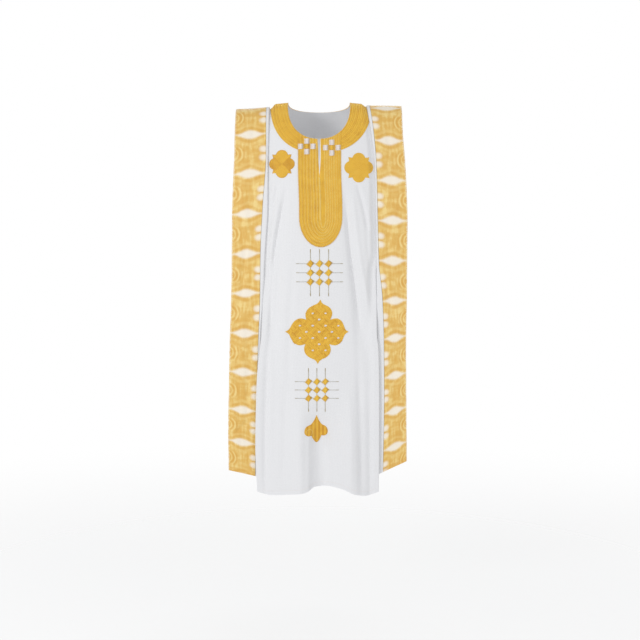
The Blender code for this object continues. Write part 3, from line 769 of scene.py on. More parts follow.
def thread_material(name, dark, middle, light, gloss):
    """Embroidery thread: its stitches vary in shade, as their attribute says, and have twisted filaments."""
    if name in bpy.data.materials:
        return bpy.data.materials[name]
    material, tree, shader = new_material(name)
    place = wire(tree, "ShaderNodeTexCoord").outputs["Object"]
    shade = wire(tree, "ShaderNodeAttribute", attribute_name="shade").outputs["Fac"]
    grain = noise(tree, place, 45.0, 3.0)
    fine = noise(tree, place, 2600.0, 1.0)
    varied = calc(tree, "ADD", shade, calc(tree, "MULTIPLY_ADD", grain, 0.44, -0.22))
    varied = calc(tree, "ADD", varied, calc(tree, "MULTIPLY_ADD", fine, 0.14, -0.07))
    base = mixed(tree, ramp(tree, varied, 0.0, 0.5), (*dark, 1.0), (*middle, 1.0))
    base = mixed(tree, ramp(tree, varied, 0.5, 1.0), base, (*light, 1.0))
    tree.links.new(base, shader.inputs["Base Color"])
    tree.links.new(calc(tree, "MULTIPLY_ADD", fine, 0.12, gloss), shader.inputs["Roughness"])
    shader.inputs["Specular IOR Level"].default_value = 0.40
    shader.inputs["Sheen Weight"].default_value = 0.12
    bump(tree, shader, ((fine, 0.30, 0.0002),))
    return material


def gold_material():
    tints = colours()
    return thread_material("gold_thread", tints.gold_dark, tints.gold, tints.gold_light, 0.40)


def white_thread_material():
    tints = colours()
    white = tints.white_thread
    return thread_material("white_thread", tints.white_thread_shadow, white, white, 0.45)


def line_material():
    tints = colours()
    return thread_material("line_thread", tints.line_brown, tints.line_grey, tints.gold, 0.50)


# Cloth pieces.


def along_rows(points):
    """For each point of a grid, how far across its row it lies, measured on the cloth."""
    steps = np.linalg.norm(np.diff(points, axis=1), axis=-1)
    return np.concatenate([np.zeros((points.shape[0], 1)), np.cumsum(steps, axis=1)], axis=1)


def bowl(half_width, depth, angle):
    """A point of a rounded neckline as (x, drop), the angle running from the right shoulder to the left."""
    across, down = np.cos(angle), np.maximum(0.0, np.sin(angle))
    return half_width * np.sign(across) * np.abs(across) ** (2 / NECK_POWER), depth * down ** (2 / NECK_POWER)


def neck_outline(face, steps=96):
    """The neck opening as seen from ahead, closed above the shoulders, with the slit on the front."""
    x, drop = bowl(NECK_HALF_WIDTH, NECK_DROP[face], np.linspace(0.0, math.pi, steps + 1))
    edge = list(zip(x.tolist(), (-drop).tolist()))
    if face == "front":
        half, foot = SLIT_WIDTH / 2, -NECK_DROP[face]
        edge[steps // 2 : steps // 2 + 1] = [(half, foot), (0.0, -SLIT_FOOT), (-half, foot)]
    return [(NECK_HALF_WIDTH, 0.05), *edge, (-NECK_HALF_WIDTH, 0.05)]


def cut_neck(piece, face):
    """Cuts the neck opening out of a panel with a prism pushed through it from ahead."""
    mesh = bmesh.new()
    near, far = sorted((OUT[face] * -0.01, OUT[face] * 0.30))
    outline = mesh.faces.new([mesh.verts.new((x, near, z)) for x, z in neck_outline(face)])
    pushed = bmesh.ops.extrude_face_region(mesh, geom=[outline])["geom"]
    moved = [item for item in pushed if isinstance(item, bmesh.types.BMVert)]
    bmesh.ops.translate(mesh, verts=moved, vec=(0.0, far - near, 0.0))
    bmesh.ops.recalc_face_normals(mesh, faces=mesh.faces)
    data = bpy.data.meshes.new("neck_cutter")
    mesh.to_mesh(data)
    mesh.free()
    cutter = bpy.data.objects.new("neck_cutter", data)
    bpy.context.scene.collection.objects.link(cutter)
    cut = piece.modifiers.new("Neck", "BOOLEAN")
    cut.operation = "DIFFERENCE"
    cut.object = cutter
    applied(piece)
    bpy.data.objects.remove(cutter)


def ground_columns(edge):
    """Across one half of a panel for each row: distance from the midline, and depth behind its face, out to
    the rounded edge and back under it."""
    middle = edge - EDGE_ROLL
    shares = np.linspace(0.0, 1.0, GROUND_COLUMNS // 2 + 1)
    face = middle[:, None] * (smooth(shares) * 0.35 + shares * 0.65)
    angles = np.linspace(0.0, math.pi, TURN_COLUMNS + 2)[1:]
    turned = middle[:, None] + EDGE_ROLL * np.sin(angles)
    under = middle[:, None] - (EDGE_TURN - EDGE_ROLL) * np.linspace(0.0, 1.0, TURN_COLUMNS)[1:]
    depths = np.concatenate(
        [np.zeros(face.shape[1]), EDGE_ROLL * (1 - np.cos(angles)), np.full(under.shape[1], 2 * EDGE_ROLL)]
    )
    across = np.concatenate([face, turned, under], axis=1)
    return across, np.broadcast_to(depths, across.shape)


def cloth_piece(name, points, maps, flip, material, thickness, offset=-1.0):
    """Cloth through a grid of points, with its wall."""
    return give_wall(add_piece(name, grid_mesh(name, points, maps, flip), material), thickness, offset)


def make_ground(face):
    """The front or the back of the white ground, its side edges turned back and its neck cut out."""
    run = np.linspace(0.0, RUN_END, GROUND_ROWS)
    drop = HANG_CURVES["drop"](run)
    right, right_depth = ground_columns(EDGE_CURVES[face]["right"](drop))
    left, left_depth = ground_columns(EDGE_CURVES[face]["left"](drop))
    x = np.concatenate([-left[:, ::-1], right[:, 1:]], axis=1)
    depth = np.concatenate([left_depth[:, ::-1], right_depth[:, 1:]], axis=1)
    points = ground(face, x, run[:, None])
    away_y, away_z = away_from_wearer(face, run)
    points[..., 1] -= depth * away_y[:, None]
    points[..., 2] -= depth * away_z[:, None]
    maps = {"cloth": np.stack([along_rows(points), np.broadcast_to(run[:, None], x.shape)], axis=-1)}
    material, thickness = ground_material(), sizes().ground_thickness
    piece = cloth_piece(face + "_cloth", points, maps, face == "back", material, thickness)
    cut_neck(piece, face)
    piece.data.set_sharp_from_angle(angle=SHARP_ANGLE)
    hand_over(piece, "ground_cloth", face + "_panel")


def folded_rows(side, columns):
    """A grid over the folded side from the front hem over the shoulder to the back hem. columns are rows of
    (share from seam to outer fold, distance added to it, depth under the wing's face)."""
    share, added, depth = (np.array(values) for values in zip(*columns))
    signed = np.linspace(-RUN_END, RUN_END, WING_ROWS)
    drop = HANG_CURVES["drop"](np.abs(signed))
    seam, outer = SIDE_CURVES[side]["seam"](drop)[:, None], SIDE_CURVES[side]["outer"](drop)[:, None]
    x = seam * (1 - share) + outer * share + added
    grid_signed, grid_depth = np.broadcast_arrays(signed[:, None], depth)
    return signed, folded_cloth(side, grid_signed, x, grid_depth)


def wing_columns():
    """Across the wing's three layers: out from the seam, round and back under it, round and out again. The
    last value counts the cloth's widths, for the pattern."""
    half, turn = WING_WALL / 2, LAYER_PITCH / 2
    columns = []
    for layer in range(WING_LAYERS):
        depth = half + layer * LAYER_PITCH
        steps = 40 if layer == 0 else 9
        inner = half if layer == 0 else half + 0.003 + turn
        outer = -half - turn if layer < WING_LAYERS - 1 else -half - 0.003
        outwards = layer % 2 == 0
        for t in np.linspace(0.0, 1.0, steps):
            share = t if outwards else 1.0 - t
            columns.append((share, inner * (1 - share) + outer * share, depth, layer + t))
        if layer < WING_LAYERS - 1:
            end, bulge = (1.0, turn) if outwards else (0.0, -turn)
            edge = outer if outwards else inner
            for angle in np.linspace(0.0, math.pi, 6)[1:-1]:
                across = edge + bulge * math.sin(angle)
                columns.append((end, across, depth + turn * (1 - math.cos(angle)), layer + 1.0))
    return columns


def lens_steps(side, signed):
    """Which lens of the pattern a place on the wing is at: whole numbers at the lenses' middles."""
    fine = np.linspace(0.0, RUN_END, 2000)
    drop = HANG_CURVES["drop"](fine)
    middle = (SIDE_CURVES[side]["seam"](drop) + SIDE_CURVES[side]["outer"](drop)) / 2
    heights = folded_cloth(side, -fine, middle, np.zeros_like(fine))[:, 2]
    places = [-float(np.interp(-height, -heights, fine)) for height in reversed(LENSES[side])]
    places.insert(0, places[0] - LENS_PITCH)
    while places[-1] < RUN_END:
        places.append(places[-1] + LENS_PITCH)
    return SmoothTable(places, np.arange(len(places)))(signed)


def make_wing(side):
    columns = wing_columns()
    signed, points = folded_rows(side, [column[:3] for column in columns])
    across = along_rows(points)
    widths = np.broadcast_to(np.array([column[3] for column in columns]), across.shape)
    steps = np.broadcast_to(lens_steps(side, signed)[:, None], across.shape)
    to_hem = np.broadcast_to((RUN_END - np.abs(signed))[:, None], across.shape)
    maps = {"pattern": np.stack([widths, steps], axis=-1), "rim": np.stack([to_hem, across], axis=-1)}
    material, thickness = wing_material(), sizes().wing_thickness
    piece = cloth_piece("damask_wing_" + side, points, maps, side == "left", material, thickness, 0.0)
    piece.data.set_sharp_from_angle(angle=SHARP_ANGLE)
    hand_over(piece, "wing_cloth", "wing_" + side)


def make_side_fold(side):
    """White cloth that the wing is sewn to, folded round under the wing's layers."""
    deep = WING_LAYERS * LAYER_PITCH + WING_WALL
    turn = deep / 2
    signed = np.linspace(-RUN_END, RUN_END, WING_ROWS)
    drop = HANG_CURVES["drop"](np.abs(signed))
    fold, seam = SIDE_CURVES[side]["fold"](drop)[:, None], SIDE_CURVES[side]["seam"](drop)[:, None]
    outer = SIDE_CURVES[side]["outer"](drop)[:, None]
    strip = np.linspace(0.0, 1.0, 6)
    angles = np.linspace(0.0, math.pi, 9)[1:-1]
    below = np.linspace(0.0, 1.0, 14)
    start, end = seam - 0.0003, outer - 0.004
    centre = fold + turn
    face, turned = start + (centre - start) * strip, centre - turn * np.sin(angles)
    x = np.concatenate([face, turned, centre + (end - centre) * below], axis=1)
    depth = np.concatenate([np.zeros(len(strip)), turn * (1 - np.cos(angles)), np.full(len(below), deep)])
    grid_signed, grid_depth = np.broadcast_arrays(signed[:, None], depth)
    points = folded_cloth(side, grid_signed, x, grid_depth)
    across = along_rows(points)
    maps = {"cloth": np.stack([across, np.broadcast_to(signed[:, None], across.shape)], axis=-1)}
    material, thickness = ground_material(), sizes().side_thickness
    piece = cloth_piece("white_side_" + side, points, maps, side == "right", material, thickness)
    piece.data.set_sharp_from_angle(angle=SHARP_ANGLE)
    hand_over(piece, "ground_cloth", "side_fold_" + side)


# Embroidery.


def stitch_tree():
    """Satin stitches side by side along each path: every stitch lies across its path, as long as the path's
    breadth there, a little slanted, and rounded."""
    name = "satin_stitches"
    if name in bpy.data.node_groups:
        return bpy.data.node_groups[name]
    tree = bpy.data.node_groups.new(name, "GeometryNodeTree")
    tree.is_modifier = True
    tree.interface.new_socket("Geometry", in_out="INPUT", socket_type="NodeSocketGeometry")
    for label, kind, value in (
        ("Spacing", "NodeSocketFloat", 0.0012),
        ("Cover", "NodeSocketFloat", 1.3),
        ("Height", "NodeSocketFloat", 0.0009),
        ("Slant", "NodeSocketFloat", 0.16),
        ("Unevenness", "NodeSocketFloat", 0.05),
        ("Seed", "NodeSocketInt", 0),
    ):
        tree.interface.new_socket(label, in_out="INPUT", socket_type=kind).default_value = value
    tree.interface.new_socket("Thread", in_out="INPUT", socket_type="NodeSocketMaterial")
    tree.interface.new_socket("Geometry", in_out="OUTPUT", socket_type="NodeSocketGeometry")
    given, result = tree.nodes.new("NodeGroupInput").outputs, tree.nodes.new("NodeGroupOutput")

    path = wire(tree, "GeometryNodeMeshToCurve", {"Mesh": given["Geometry"]}).outputs[0]
    inputs = {"Curve": path, "Length": given["Spacing"]}
    resample = wire(tree, "GeometryNodeResampleCurve", inputs, mode="LENGTH")
    named = "GeometryNodeInputNamedAttribute"
    away = wire(tree, named, {"Name": "away"}, data_type="FLOAT_VECTOR").outputs[0]
    breadth = wire(tree, named, {"Name": "breadth"}, data_type="FLOAT").outputs[0]
    tangent = wire(tree, "GeometryNodeInputTangent").outputs[0]
    facing = wire(
        tree,
        "FunctionNodeAxesToRotation",
        {"Primary Axis": away, "Secondary Axis": tangent},
        primary_axis="Z",
        secondary_axis="Y",
    ).outputs[0]
    least = calc(tree, "MULTIPLY", given["Unevenness"], -1.0)
    jitter = wire(tree, "FunctionNodeRandomValue", {"Seed": given["Seed"]}, data_type="FLOAT")
    tree.links.new(least, jitter.inputs[2])
    tree.links.new(given["Unevenness"], jitter.inputs[3])
    angle = calc(tree, "ADD", given["Slant"], jitter.outputs[1])
    turn = wire(tree, "FunctionNodeAxisAngleToRotation", {"Axis": (0.0, 0.0, 1.0), "Angle": angle}).outputs[0]
    laid = wire(
        tree, "FunctionNodeRotateRotation", {"Rotation": facing, "Rotate By": turn}, rotation_space="LOCAL"
    ).outputs[0]
    covered = calc(tree, "MULTIPLY", given["Spacing"], given["Cover"])
    scale = wire(tree, "ShaderNodeCombineXYZ", {0: breadth, 1: covered, 2: given["Height"]}).outputs[0]
    stitch = wire(tree, "GeometryNodeMeshIcoSphere", {"Radius": 0.5, "Subdivisions": 1}).outputs[0]
    laid_out = wire(
        tree,
        "GeometryNodeInstanceOnPoints",
        {"Points": resample.outputs[0], "Instance": stitch, "Rotation": laid, "Scale": scale},
    ).outputs[0]
    whole = wire(tree, "GeometryNodeRealizeInstances", {"Geometry": laid_out}).outputs[0]
    soft = wire(tree, "GeometryNodeSetShadeSmooth", {"Geometry": whole}).outputs[0]
    dyed = wire(tree, "GeometryNodeSetMaterial", {"Geometry": soft, "Material": given["Thread"]}).outputs[0]
    tree.links.new(dyed, result.inputs[0])
    return tree


# A row of stitches as seen from ahead: its points (x, z), its breadth and its shade at each of them.
Row = namedtuple("Row", "points breadth shade")


def guide_mesh(name, face, rows, lift):
    """Paths on the cloth for the stitches to follow, with the attributes that the stitch tree reads."""
    rows = [row for row in rows if len(row.points) > 1]
    places = np.concatenate([np.asarray(row.points, float) for row in rows])
    points, normals = on_ground(face, places, lift)
    edges, start = [], 0
    for row in rows:
        edges += [(k, k + 1) for k in range(start, start + len(row.points) - 1)]
        start += len(row.points)
    data = bpy.data.meshes.new(name)
    data.from_pydata(points.tolist(), edges, [])
    breadth = np.concatenate([np.broadcast_to(row.breadth, len(row.points)) for row in rows])
    shade = np.concatenate([np.broadcast_to(row.shade, len(row.points)) for row in rows])
    data.attributes.new("away", "FLOAT_VECTOR", "POINT").data.foreach_set("vector", normals.reshape(-1))
    data.attributes.new("breadth", "FLOAT", "POINT").data.foreach_set("value", breadth.astype(np.float32))
    data.attributes.new("shade", "FLOAT", "POINT").data.foreach_set("value", shade.astype(np.float32))
    return data


def stitched(name, data, material, **choices):
    """Stitches along a guide mesh's paths, as a plain mesh object."""
    piece = add_piece(name, data, material)
    tree = stitch_tree()
    stitches = piece.modifiers.new("Stitches", "NODES")
    stitches.node_group = tree
    values = {"Thread": material, **choices}
    for item in tree.interface.items_tree:
        if item.in_out == "INPUT" and item.name in values:
            stitches[item.identifier] = values[item.name]
    applied(piece)
    if not piece.data.polygons:
        raise RuntimeError(name + " has no stitches")
    return piece


def inside(outline, x, z):
    """Whether each point lies inside a closed outline."""
    ends = np.roll(outline, -1, axis=0)
    result = np.zeros(np.shape(x), bool)
    for (x0, z0), (x1, z1) in zip(outline, ends):
        crosses = (z0 > z) != (z1 > z)
        at = x0 + (x1 - x0) * (z - z0) / (z1 - z0 if z1 != z0 else 1.0)
        result ^= crosses & (x < at)
    return result


def pad(name, face, outline, material, pitch=0.004):
    """A thin backing on the cloth inside an outline seen from ahead."""
    outline = np.asarray(outline, float)
    low, high = outline.min(axis=0), outline.max(axis=0)
    x, z = np.meshgrid(np.arange(low[0] + pitch, high[0], pitch), np.arange(low[1] + pitch, high[1], pitch))
    keep = inside(outline, x, z)
    inner = np.stack([x[keep], z[keep]], axis=-1)
    verts = [Vector(point) for point in np.concatenate([outline, inner]).tolist()]
    edges = [(k, (k + 1) % len(outline)) for k in range(len(outline))]
    flat, _, faces, _, _, _ = delaunay_2d_cdt(verts, edges, [], 1, 1e-6)
    points, _ = on_ground(face, [tuple(v) for v in flat], BACKING_LIFT)
    faces = [tuple(corners) if face == "front" else tuple(reversed(corners)) for corners in faces]
    data = bpy.data.meshes.new(name)
    data.from_pydata(points.tolist(), [], faces)
    data.shade_smooth()
    shade = data.attributes.new("shade", "FLOAT", "POINT")
    shade.data.foreach_set("value", np.full(len(points), BACKING_PAINTED_SHADE, np.float32))
    return give_wall(add_piece(name, data, material), BACKING_THICKNESS)


def joined(name, parts, material):
    """Several meshes as one piece of one material, with the shades of their stitches."""
    points, faces, shades, count = [], [], [], 0
    for part in parts:
        data = part.data
        place = np.empty(len(data.vertices) * 3, np.float32)
        data.vertices.foreach_get("co", place)
        shade = np.empty(len(data.vertices), np.float32)
        data.attributes["shade"].data.foreach_get("value", shade)
        points.append(place.reshape(-1, 3))
        shades.append(shade)
        faces += [tuple(corner + count for corner in face.vertices) for face in data.polygons]
        count += len(data.vertices)
        bpy.data.objects.remove(part)
    data = bpy.data.meshes.new(name)
    data.from_pydata(np.concatenate(points).tolist(), [], faces)
    data.attributes.new("shade", "FLOAT", "POINT").data.foreach_set("value", np.concatenate(shades))
    data.shade_smooth()
    return add_piece(name, data, material)


def kept_stretches(points, keep, breadth, shade):
    """The stretches of a row where keep holds, as rows of their own."""
    breadth, shade = np.broadcast_to(breadth, len(points)), np.broadcast_to(shade, len(points))
    rows, start = [], None
    for k, good in enumerate([*keep, False]):
        if good and start is None:
            start = k
        if not good and start is not None:
            if k - start > 1:
                rows.append(Row(points[start:k], breadth[start:k], shade[start:k]))
            start = None
    return rows


def filling_rows(outline, angle, pitch, shade, keep=None, step=0.0015, trim=0.0012):
    """Straight rows side by side that fill an outline, at an angle; shade may be a function of (x, z)."""
    outline = np.asarray(outline, float)
    along = np.array([math.cos(angle), math.sin(angle)])
    across = np.array([-along[1], along[0]])
    u, v = outline @ along, outline @ across
    rows = []
    for offset in np.arange(math.floor(v.min() / pitch) * pitch + pitch / 2, v.max(), pitch):
        places = np.arange(u.min(), u.max(), step)
        points = places[:, None] * along + offset * across
        good = inside(outline, points[:, 0], points[:, 1])
        for side in (-trim, trim):
            good &= inside(outline, points[:, 0] + side * along[0], points[:, 1] + side * along[1])
        if keep is not None:
            good &= keep(points[:, 0], points[:, 1])
        tint = shade(points[:, 0], points[:, 1]) if callable(shade) else shade
        rows += kept_stretches(points, good, pitch * 1.04, tint)
    return rows


def stitch_ornament(name, face, rows, material, outline=None, lift=STITCH_LIFT, spacing=0.0014, **choices):
    """Stitches along rows, with a backing where an outline is given, as one piece."""
    guide = guide_mesh(name, face, rows, lift)
    parts = [stitched(name + "_stitches", guide, material, Spacing=spacing, **choices)]
    if outline is not None:
        parts.append(pad(name + "_backing", face, outline, material))
    return joined(name, parts, material)


def rounded(points, times=3):
    """An open line with its corners cut again and again, its ends kept."""
    points = np.asarray(points, float)
    for _ in range(times):
        near = points[:-1] * 0.75 + points[1:] * 0.25
        far = points[:-1] * 0.25 + points[1:] * 0.75
        middle = np.stack([near, far], axis=1).reshape(-1, 2)
        points = np.concatenate([points[:1], middle, points[-1:]])
    return points


# Half of one lobe of each ornament, as shares of its reach: along the lobe, and across it.
OGEE_LOBE = (
    (1.00, 0.00), (0.92, 0.04), (0.86, 0.11), (0.80, 0.26), (0.71, 0.37), (0.59, 0.42), (0.48, 0.41),
    (0.39, 0.375),
)
ROUND_LOBE = ((1.00, 0.00), (0.985, 0.14), (0.90, 0.29), (0.77, 0.39), (0.66, 0.43))
ROSETTE_SPIKE = 0.71  # reach of the points between a rosette's lobes
# Half of the small quatrefoil from its tip to its foot, as shares of its reaches: a spire over round side
# lobes.
SPIRE_HALF = (
    (0.00, 1.00), (0.13, 0.76), (0.28, 0.55), (0.49, 0.36), (0.71, 0.31), (0.91, 0.20), (1.00, -0.04),
    (0.96, -0.28), (0.80, -0.43), (0.58, -0.46), (0.43, -0.41), (0.36, -0.57), (0.24, -0.80), (0.11, -0.95),
    (0.00, -1.00),
)

Ornament = namedtuple("Ornament", "x z reaches")  # reaches to the right, up, to the left and down
ROSETTES = {
    "rosette_left": Ornament(-0.1125, -0.1885, (0.0390, 0.0425, 0.0390, 0.0425)),
    "rosette_right": Ornament(0.1205, -0.1995, (0.0440, 0.0450, 0.0440, 0.0450)),
}
LARGE_QUATREFOIL = Ornament(-0.0065, -0.6965, (0.0965, 0.0980, 0.0965, 0.0980))
SMALL_QUATREFOIL = Ornament(-0.0075, -0.9990, (0.0345, 0.0470, 0.0375, 0.0385))
Lattice = namedtuple("Lattice", "x z pitch half arm")
LATTICES = {
    "lattice_upper": Lattice(0.0015, -0.5170, 0.0275, 0.0112, 0.0700),
    "lattice_lower": Lattice(-0.0065, -0.8740, 0.0255, 0.0106, 0.0660),
}


def lobed_outline(ornament, lobe, spike=0.0):
    """Four lobes round a centre, as seen from ahead."""
    pointed = lobe is OGEE_LOBE
    half = rounded(lobe) if pointed else np.asarray(lobe)
    whole = np.concatenate([half[::-1] * (1.0, -1.0), half[1:]])
    whole = whole if pointed else rounded(whole, 2)
    outline = []
    for turn, reach in enumerate(ornament.reaches):
        angle = turn * math.pi / 2
        along = np.array([math.cos(angle), math.sin(angle)])
        across = np.array([-along[1], along[0]])
        beside = (ornament.reaches[(turn - 1) % 4], ornament.reaches[(turn + 1) % 4])
        side = min(beside) if pointed else reach
        outline += list(whole[:, :1] * along * reach + whole[:, 1:] * across * side)
        if spike:
            outline.append((along + across) * spike * (reach + beside[1]) / 2)
    return np.array(outline) + (ornament.x, ornament.z)


def spire_outline(ornament):
    """The small quatrefoil, both its halves alike but for their reaches, as seen from ahead."""
    right, up, left, down = ornament.reaches
    half = rounded(SPIRE_HALF, 2)
    half[:, 1] *= np.where(half[:, 1] > 0, up, down)
    outline = np.concatenate([half * (right, 1.0), half[-2:0:-1] * (-left, 1.0)])
    return outline + (ornament.x, ornament.z)


def border(outline, breadth, shade, inset=0.0):
    """A row of stitches round a closed outline, a little inside it."""
    centre = outline.mean(axis=0)
    points = centre + (outline - centre) * (1.0 - inset)
    return Row(np.concatenate([points, points[:1]]), breadth, shade)


YOKE_REACH = {
    ("front", "left"): 0.150,
    ("front", "right"): 0.162,
    ("back", "left"): 0.150,
    ("back", "right"): 0.150,
}
YOKE_DEPTH = {"front": 0.156, "back": 0.076}
SHOULDER_BLEND = 0.030  # drop within which the yoke's contours turn to the shoulder line
SHOULDER_OVERLAP = 0.35  # how much wider the yoke's rows are at the shoulder line
TONGUE_HALF_WIDTH = 0.065
TONGUE_SPRING = 0.350
TONGUE_FOOT = 0.4395
TONGUE_CENTRE = 0.0015
TONGUE_LEAN = 0.0035  # how far its foot swings aside
TONGUE_LEAN_START = 0.20  # drop from which it swings
TONGUE_LEAN_RUN = 0.12
TONGUE_HEART = 0.0100  # midline of the innermost loop
TONGUE_HEART_FOOT = 0.372
SLIT_MARGIN = 0.0044  # white left on both sides of the slit, at the neckline
SLIT_FOOT_MARGIN = 0.0014  # the same at the slit's foot
YOKE_SHADES = (0.30, 0.46, 0.38, 0.50, 0.34, 0.44, 0.52, 0.36, 0.47, 0.32, 0.50, 0.40)
TONGUE_SHADES = (0.44, 0.52, 0.34, 0.46, 0.38, 0.54, 0.42, 0.36)


def neck_contour(face, side, share, angles):
    """A line round the neck from the shoulder line, as (x, drop): share 0 is the neckline and 1 the yoke's
    outer edge."""
    reach = NECK_HALF_WIDTH + (YOKE_REACH[face, side] - NECK_HALF_WIDTH) * share
    x, drop = bowl(reach, NECK_DROP[face] + (YOKE_DEPTH[face] - NECK_DROP[face]) * share, angles)
    top = ground(face, -x if side == "left" else x, 0.0)[..., 2]
    return x, drop - top * np.clip(1.0 - drop / SHOULDER_BLEND, 0.0, 1.0)


def yoke_rows(face):
    """Rows of satin that follow the neckline from the shoulders to the tongue, or right round the back."""
    rows, count = [], sizes().yoke_rows
    angles = math.pi / 2 * np.linspace(0.0, 1.0, 200) ** 2
    for side, sign in (("left", -1.0), ("right", 1.0)):
        for k in range(count):
            inner, outer = (neck_contour(face, side, (k + end) / count, angles) for end in (0.0, 1.0))
            x, drop = neck_contour(face, side, (k + 0.5) / count, angles)
            breadth = np.hypot(outer[0] - inner[0], outer[1] - inner[1]) * 1.02
            limit = SIDE_CURVES[side]["fold"](drop + WINGS[side].top_inner) - FOLD_CLEARANCE
            keep = x + breadth / 2 < limit
            if face == "front":
                keep &= np.abs(sign * x - TONGUE_CENTRE) > TONGUE_HALF_WIDTH - 0.0012
            points = np.stack([sign * x, -drop], axis=-1)
            breadth = breadth * (1.0 + SHOULDER_OVERLAP * np.clip(1.0 - drop / SHOULDER_BLEND, 0.0, 1.0))
            rows += kept_stretches(points, keep, breadth, YOKE_SHADES[k % len(YOKE_SHADES)])
    return rows


def yoke_outline(face):
    """The yoke's two halves beside the tongue, or the whole of it on the back, as seen from ahead."""
    halves = []
    angles = math.pi / 2 * np.linspace(0.0, 1.0, 90) ** 2
    for side, sign in (("left", -1.0), ("right", 1.0)):
        inner = np.stack(neck_contour(face, side, 0.015, angles), axis=-1)
        outer = np.stack(neck_contour(face, side, 0.985, angles), axis=-1)
        limit = SIDE_CURVES[side]["fold"](outer[:, 1] + WINGS[side].top_inner) - FOLD_CLEARANCE - 0.001
        outer[:, 0] = np.minimum(outer[:, 0], limit)
        stop = TONGUE_HALF_WIDTH + sign * TONGUE_CENTRE - 0.0010 if face == "front" else 0.0002
        for line in (inner, outer):
            end = (stop, np.interp(-stop, -line[:, 0], line[:, 1]))
            halves.append(np.concatenate([line[line[:, 0] > stop], [end]]) * (sign, -1.0))
    left_inner, left_outer, right_inner, right_outer = halves
    if face == "front":
        left = np.concatenate([left_inner, left_outer[::-1]])
        return [left, np.concatenate([right_inner, right_outer[::-1]])]
    return [np.concatenate([left_inner, right_inner[::-1], right_outer, left_outer[::-1]])]


def tongue_lean(z):
    return TONGUE_LEAN * smooth((-z - TONGUE_LEAN_START) / TONGUE_LEAN_RUN)


def tongue_loop(share):
    """A loop of the tongue as seen from ahead, share 0 at its edge and 1 at its heart: down on the left,
    round the foot and up on the right."""
    half = TONGUE_HALF_WIDTH * (1.0 - share)
    centre = TONGUE_CENTRE + (TONGUE_HEART - TONGUE_CENTRE) * share
    foot = TONGUE_FOOT - (TONGUE_FOOT - TONGUE_HEART_FOOT) * share
    points = []
    for x, order in ((centre - half, 1), (centre + half, -1)):
        above = max(0.0, 1.0 - (abs(x) / NECK_HALF_WIDTH) ** NECK_POWER)
        top = NECK_DROP["front"] * above ** (1 / NECK_POWER)
        z = np.linspace(-top - 0.0012, -TONGUE_SPRING, 120)
        points.append(np.stack([np.full_like(z, x), z], axis=-1)[::order])
    angles = np.linspace(math.pi, 2 * math.pi, 33)[1:-1]
    x, z = centre + half * np.cos(angles), -TONGUE_SPRING + (foot - TONGUE_SPRING) * np.sin(angles)
    round_foot = np.stack([x, z], axis=-1)
    loop = np.concatenate([points[0], round_foot, points[1]])
    return loop + np.stack([tongue_lean(loop[:, 1]), np.zeros(len(loop))], axis=-1)


def clear_of_slit(points, half_breadth):
    """Whether a row's points leave the slit and its white margins free."""
    taper = np.clip((points[:, 1] + SLIT_FOOT) / (SLIT_FOOT - NECK_DROP["front"]), 0.0, 1.0)
    margin = SLIT_FOOT_MARGIN + (SLIT_MARGIN - SLIT_FOOT_MARGIN) * taper
    return (np.abs(points[:, 0]) - half_breadth > margin) | (points[:, 1] < -SLIT_FOOT - 0.003)


def tongue_rows():
    rows, count = [], sizes().tongue_rows
    for k in range(count):
        loop = tongue_loop((k + 0.5) / count)
        outer, inner = tongue_loop(k / count), tongue_loop((k + 1) / count)
        breadth = np.maximum(np.linalg.norm((outer - inner) * (1.0, 0.0), axis=1), 0.0012) * 1.02
        breadth = np.where(loop[:, 1] < -TONGUE_SPRING, np.linalg.norm(outer - inner, axis=1), breadth)
        # Painted shade and sheen: the same thread is painted darker on the tongue's left half and lighter on
        # its right half.
        shade = TONGUE_SHADES[k % len(TONGUE_SHADES)] + np.where(loop[:, 0] < TONGUE_CENTRE, -0.05, 0.04)
        rows += kept_stretches(loop, clear_of_slit(loop, breadth / 2), breadth, shade)
    return rows


def tongue_lines():
    """Fine light lines between the tongue's loops, the palest near its heart."""
    rows, count = [], sizes().tongue_rows
    for k in range(2, count, 2):
        loop = tongue_loop(k / count)
        shade = 0.76 + 0.44 * k / count
        rows += kept_stretches(loop, clear_of_slit(loop, 0.0008), 0.0010 + 0.0009 * k / count, shade)
    z = np.linspace(-SLIT_FOOT - 0.002, -TONGUE_SPRING - 0.004, 70)
    seam = np.stack([tongue_lean(z), z], axis=-1)
    rows.append(Row(seam, 0.0014, 1.05))
    return rows


def tongue_outline():
    """The whole tongue as seen from ahead, its slit left open."""
    loop = tongue_loop(0.012)
    x, drop = bowl(NECK_HALF_WIDTH, NECK_DROP["front"], np.linspace(0.9, math.pi - 0.9, 60))
    inside_loop = (x > loop[0, 0] + 0.001) & (x < loop[-1, 0] - 0.001)
    rim = np.stack([x, -drop - 0.0008], axis=-1)[inside_loop]
    rim = rim[np.argsort(-rim[:, 0])]
    top = -NECK_DROP["front"] - 0.0010
    slit = [(SLIT_MARGIN, top), (SLIT_FOOT_MARGIN, -SLIT_FOOT - 0.002), (-SLIT_MARGIN, top)]
    return np.concatenate([loop, rim[rim[:, 0] > SLIT_MARGIN], slit, rim[rim[:, 0] < -SLIT_MARGIN]])


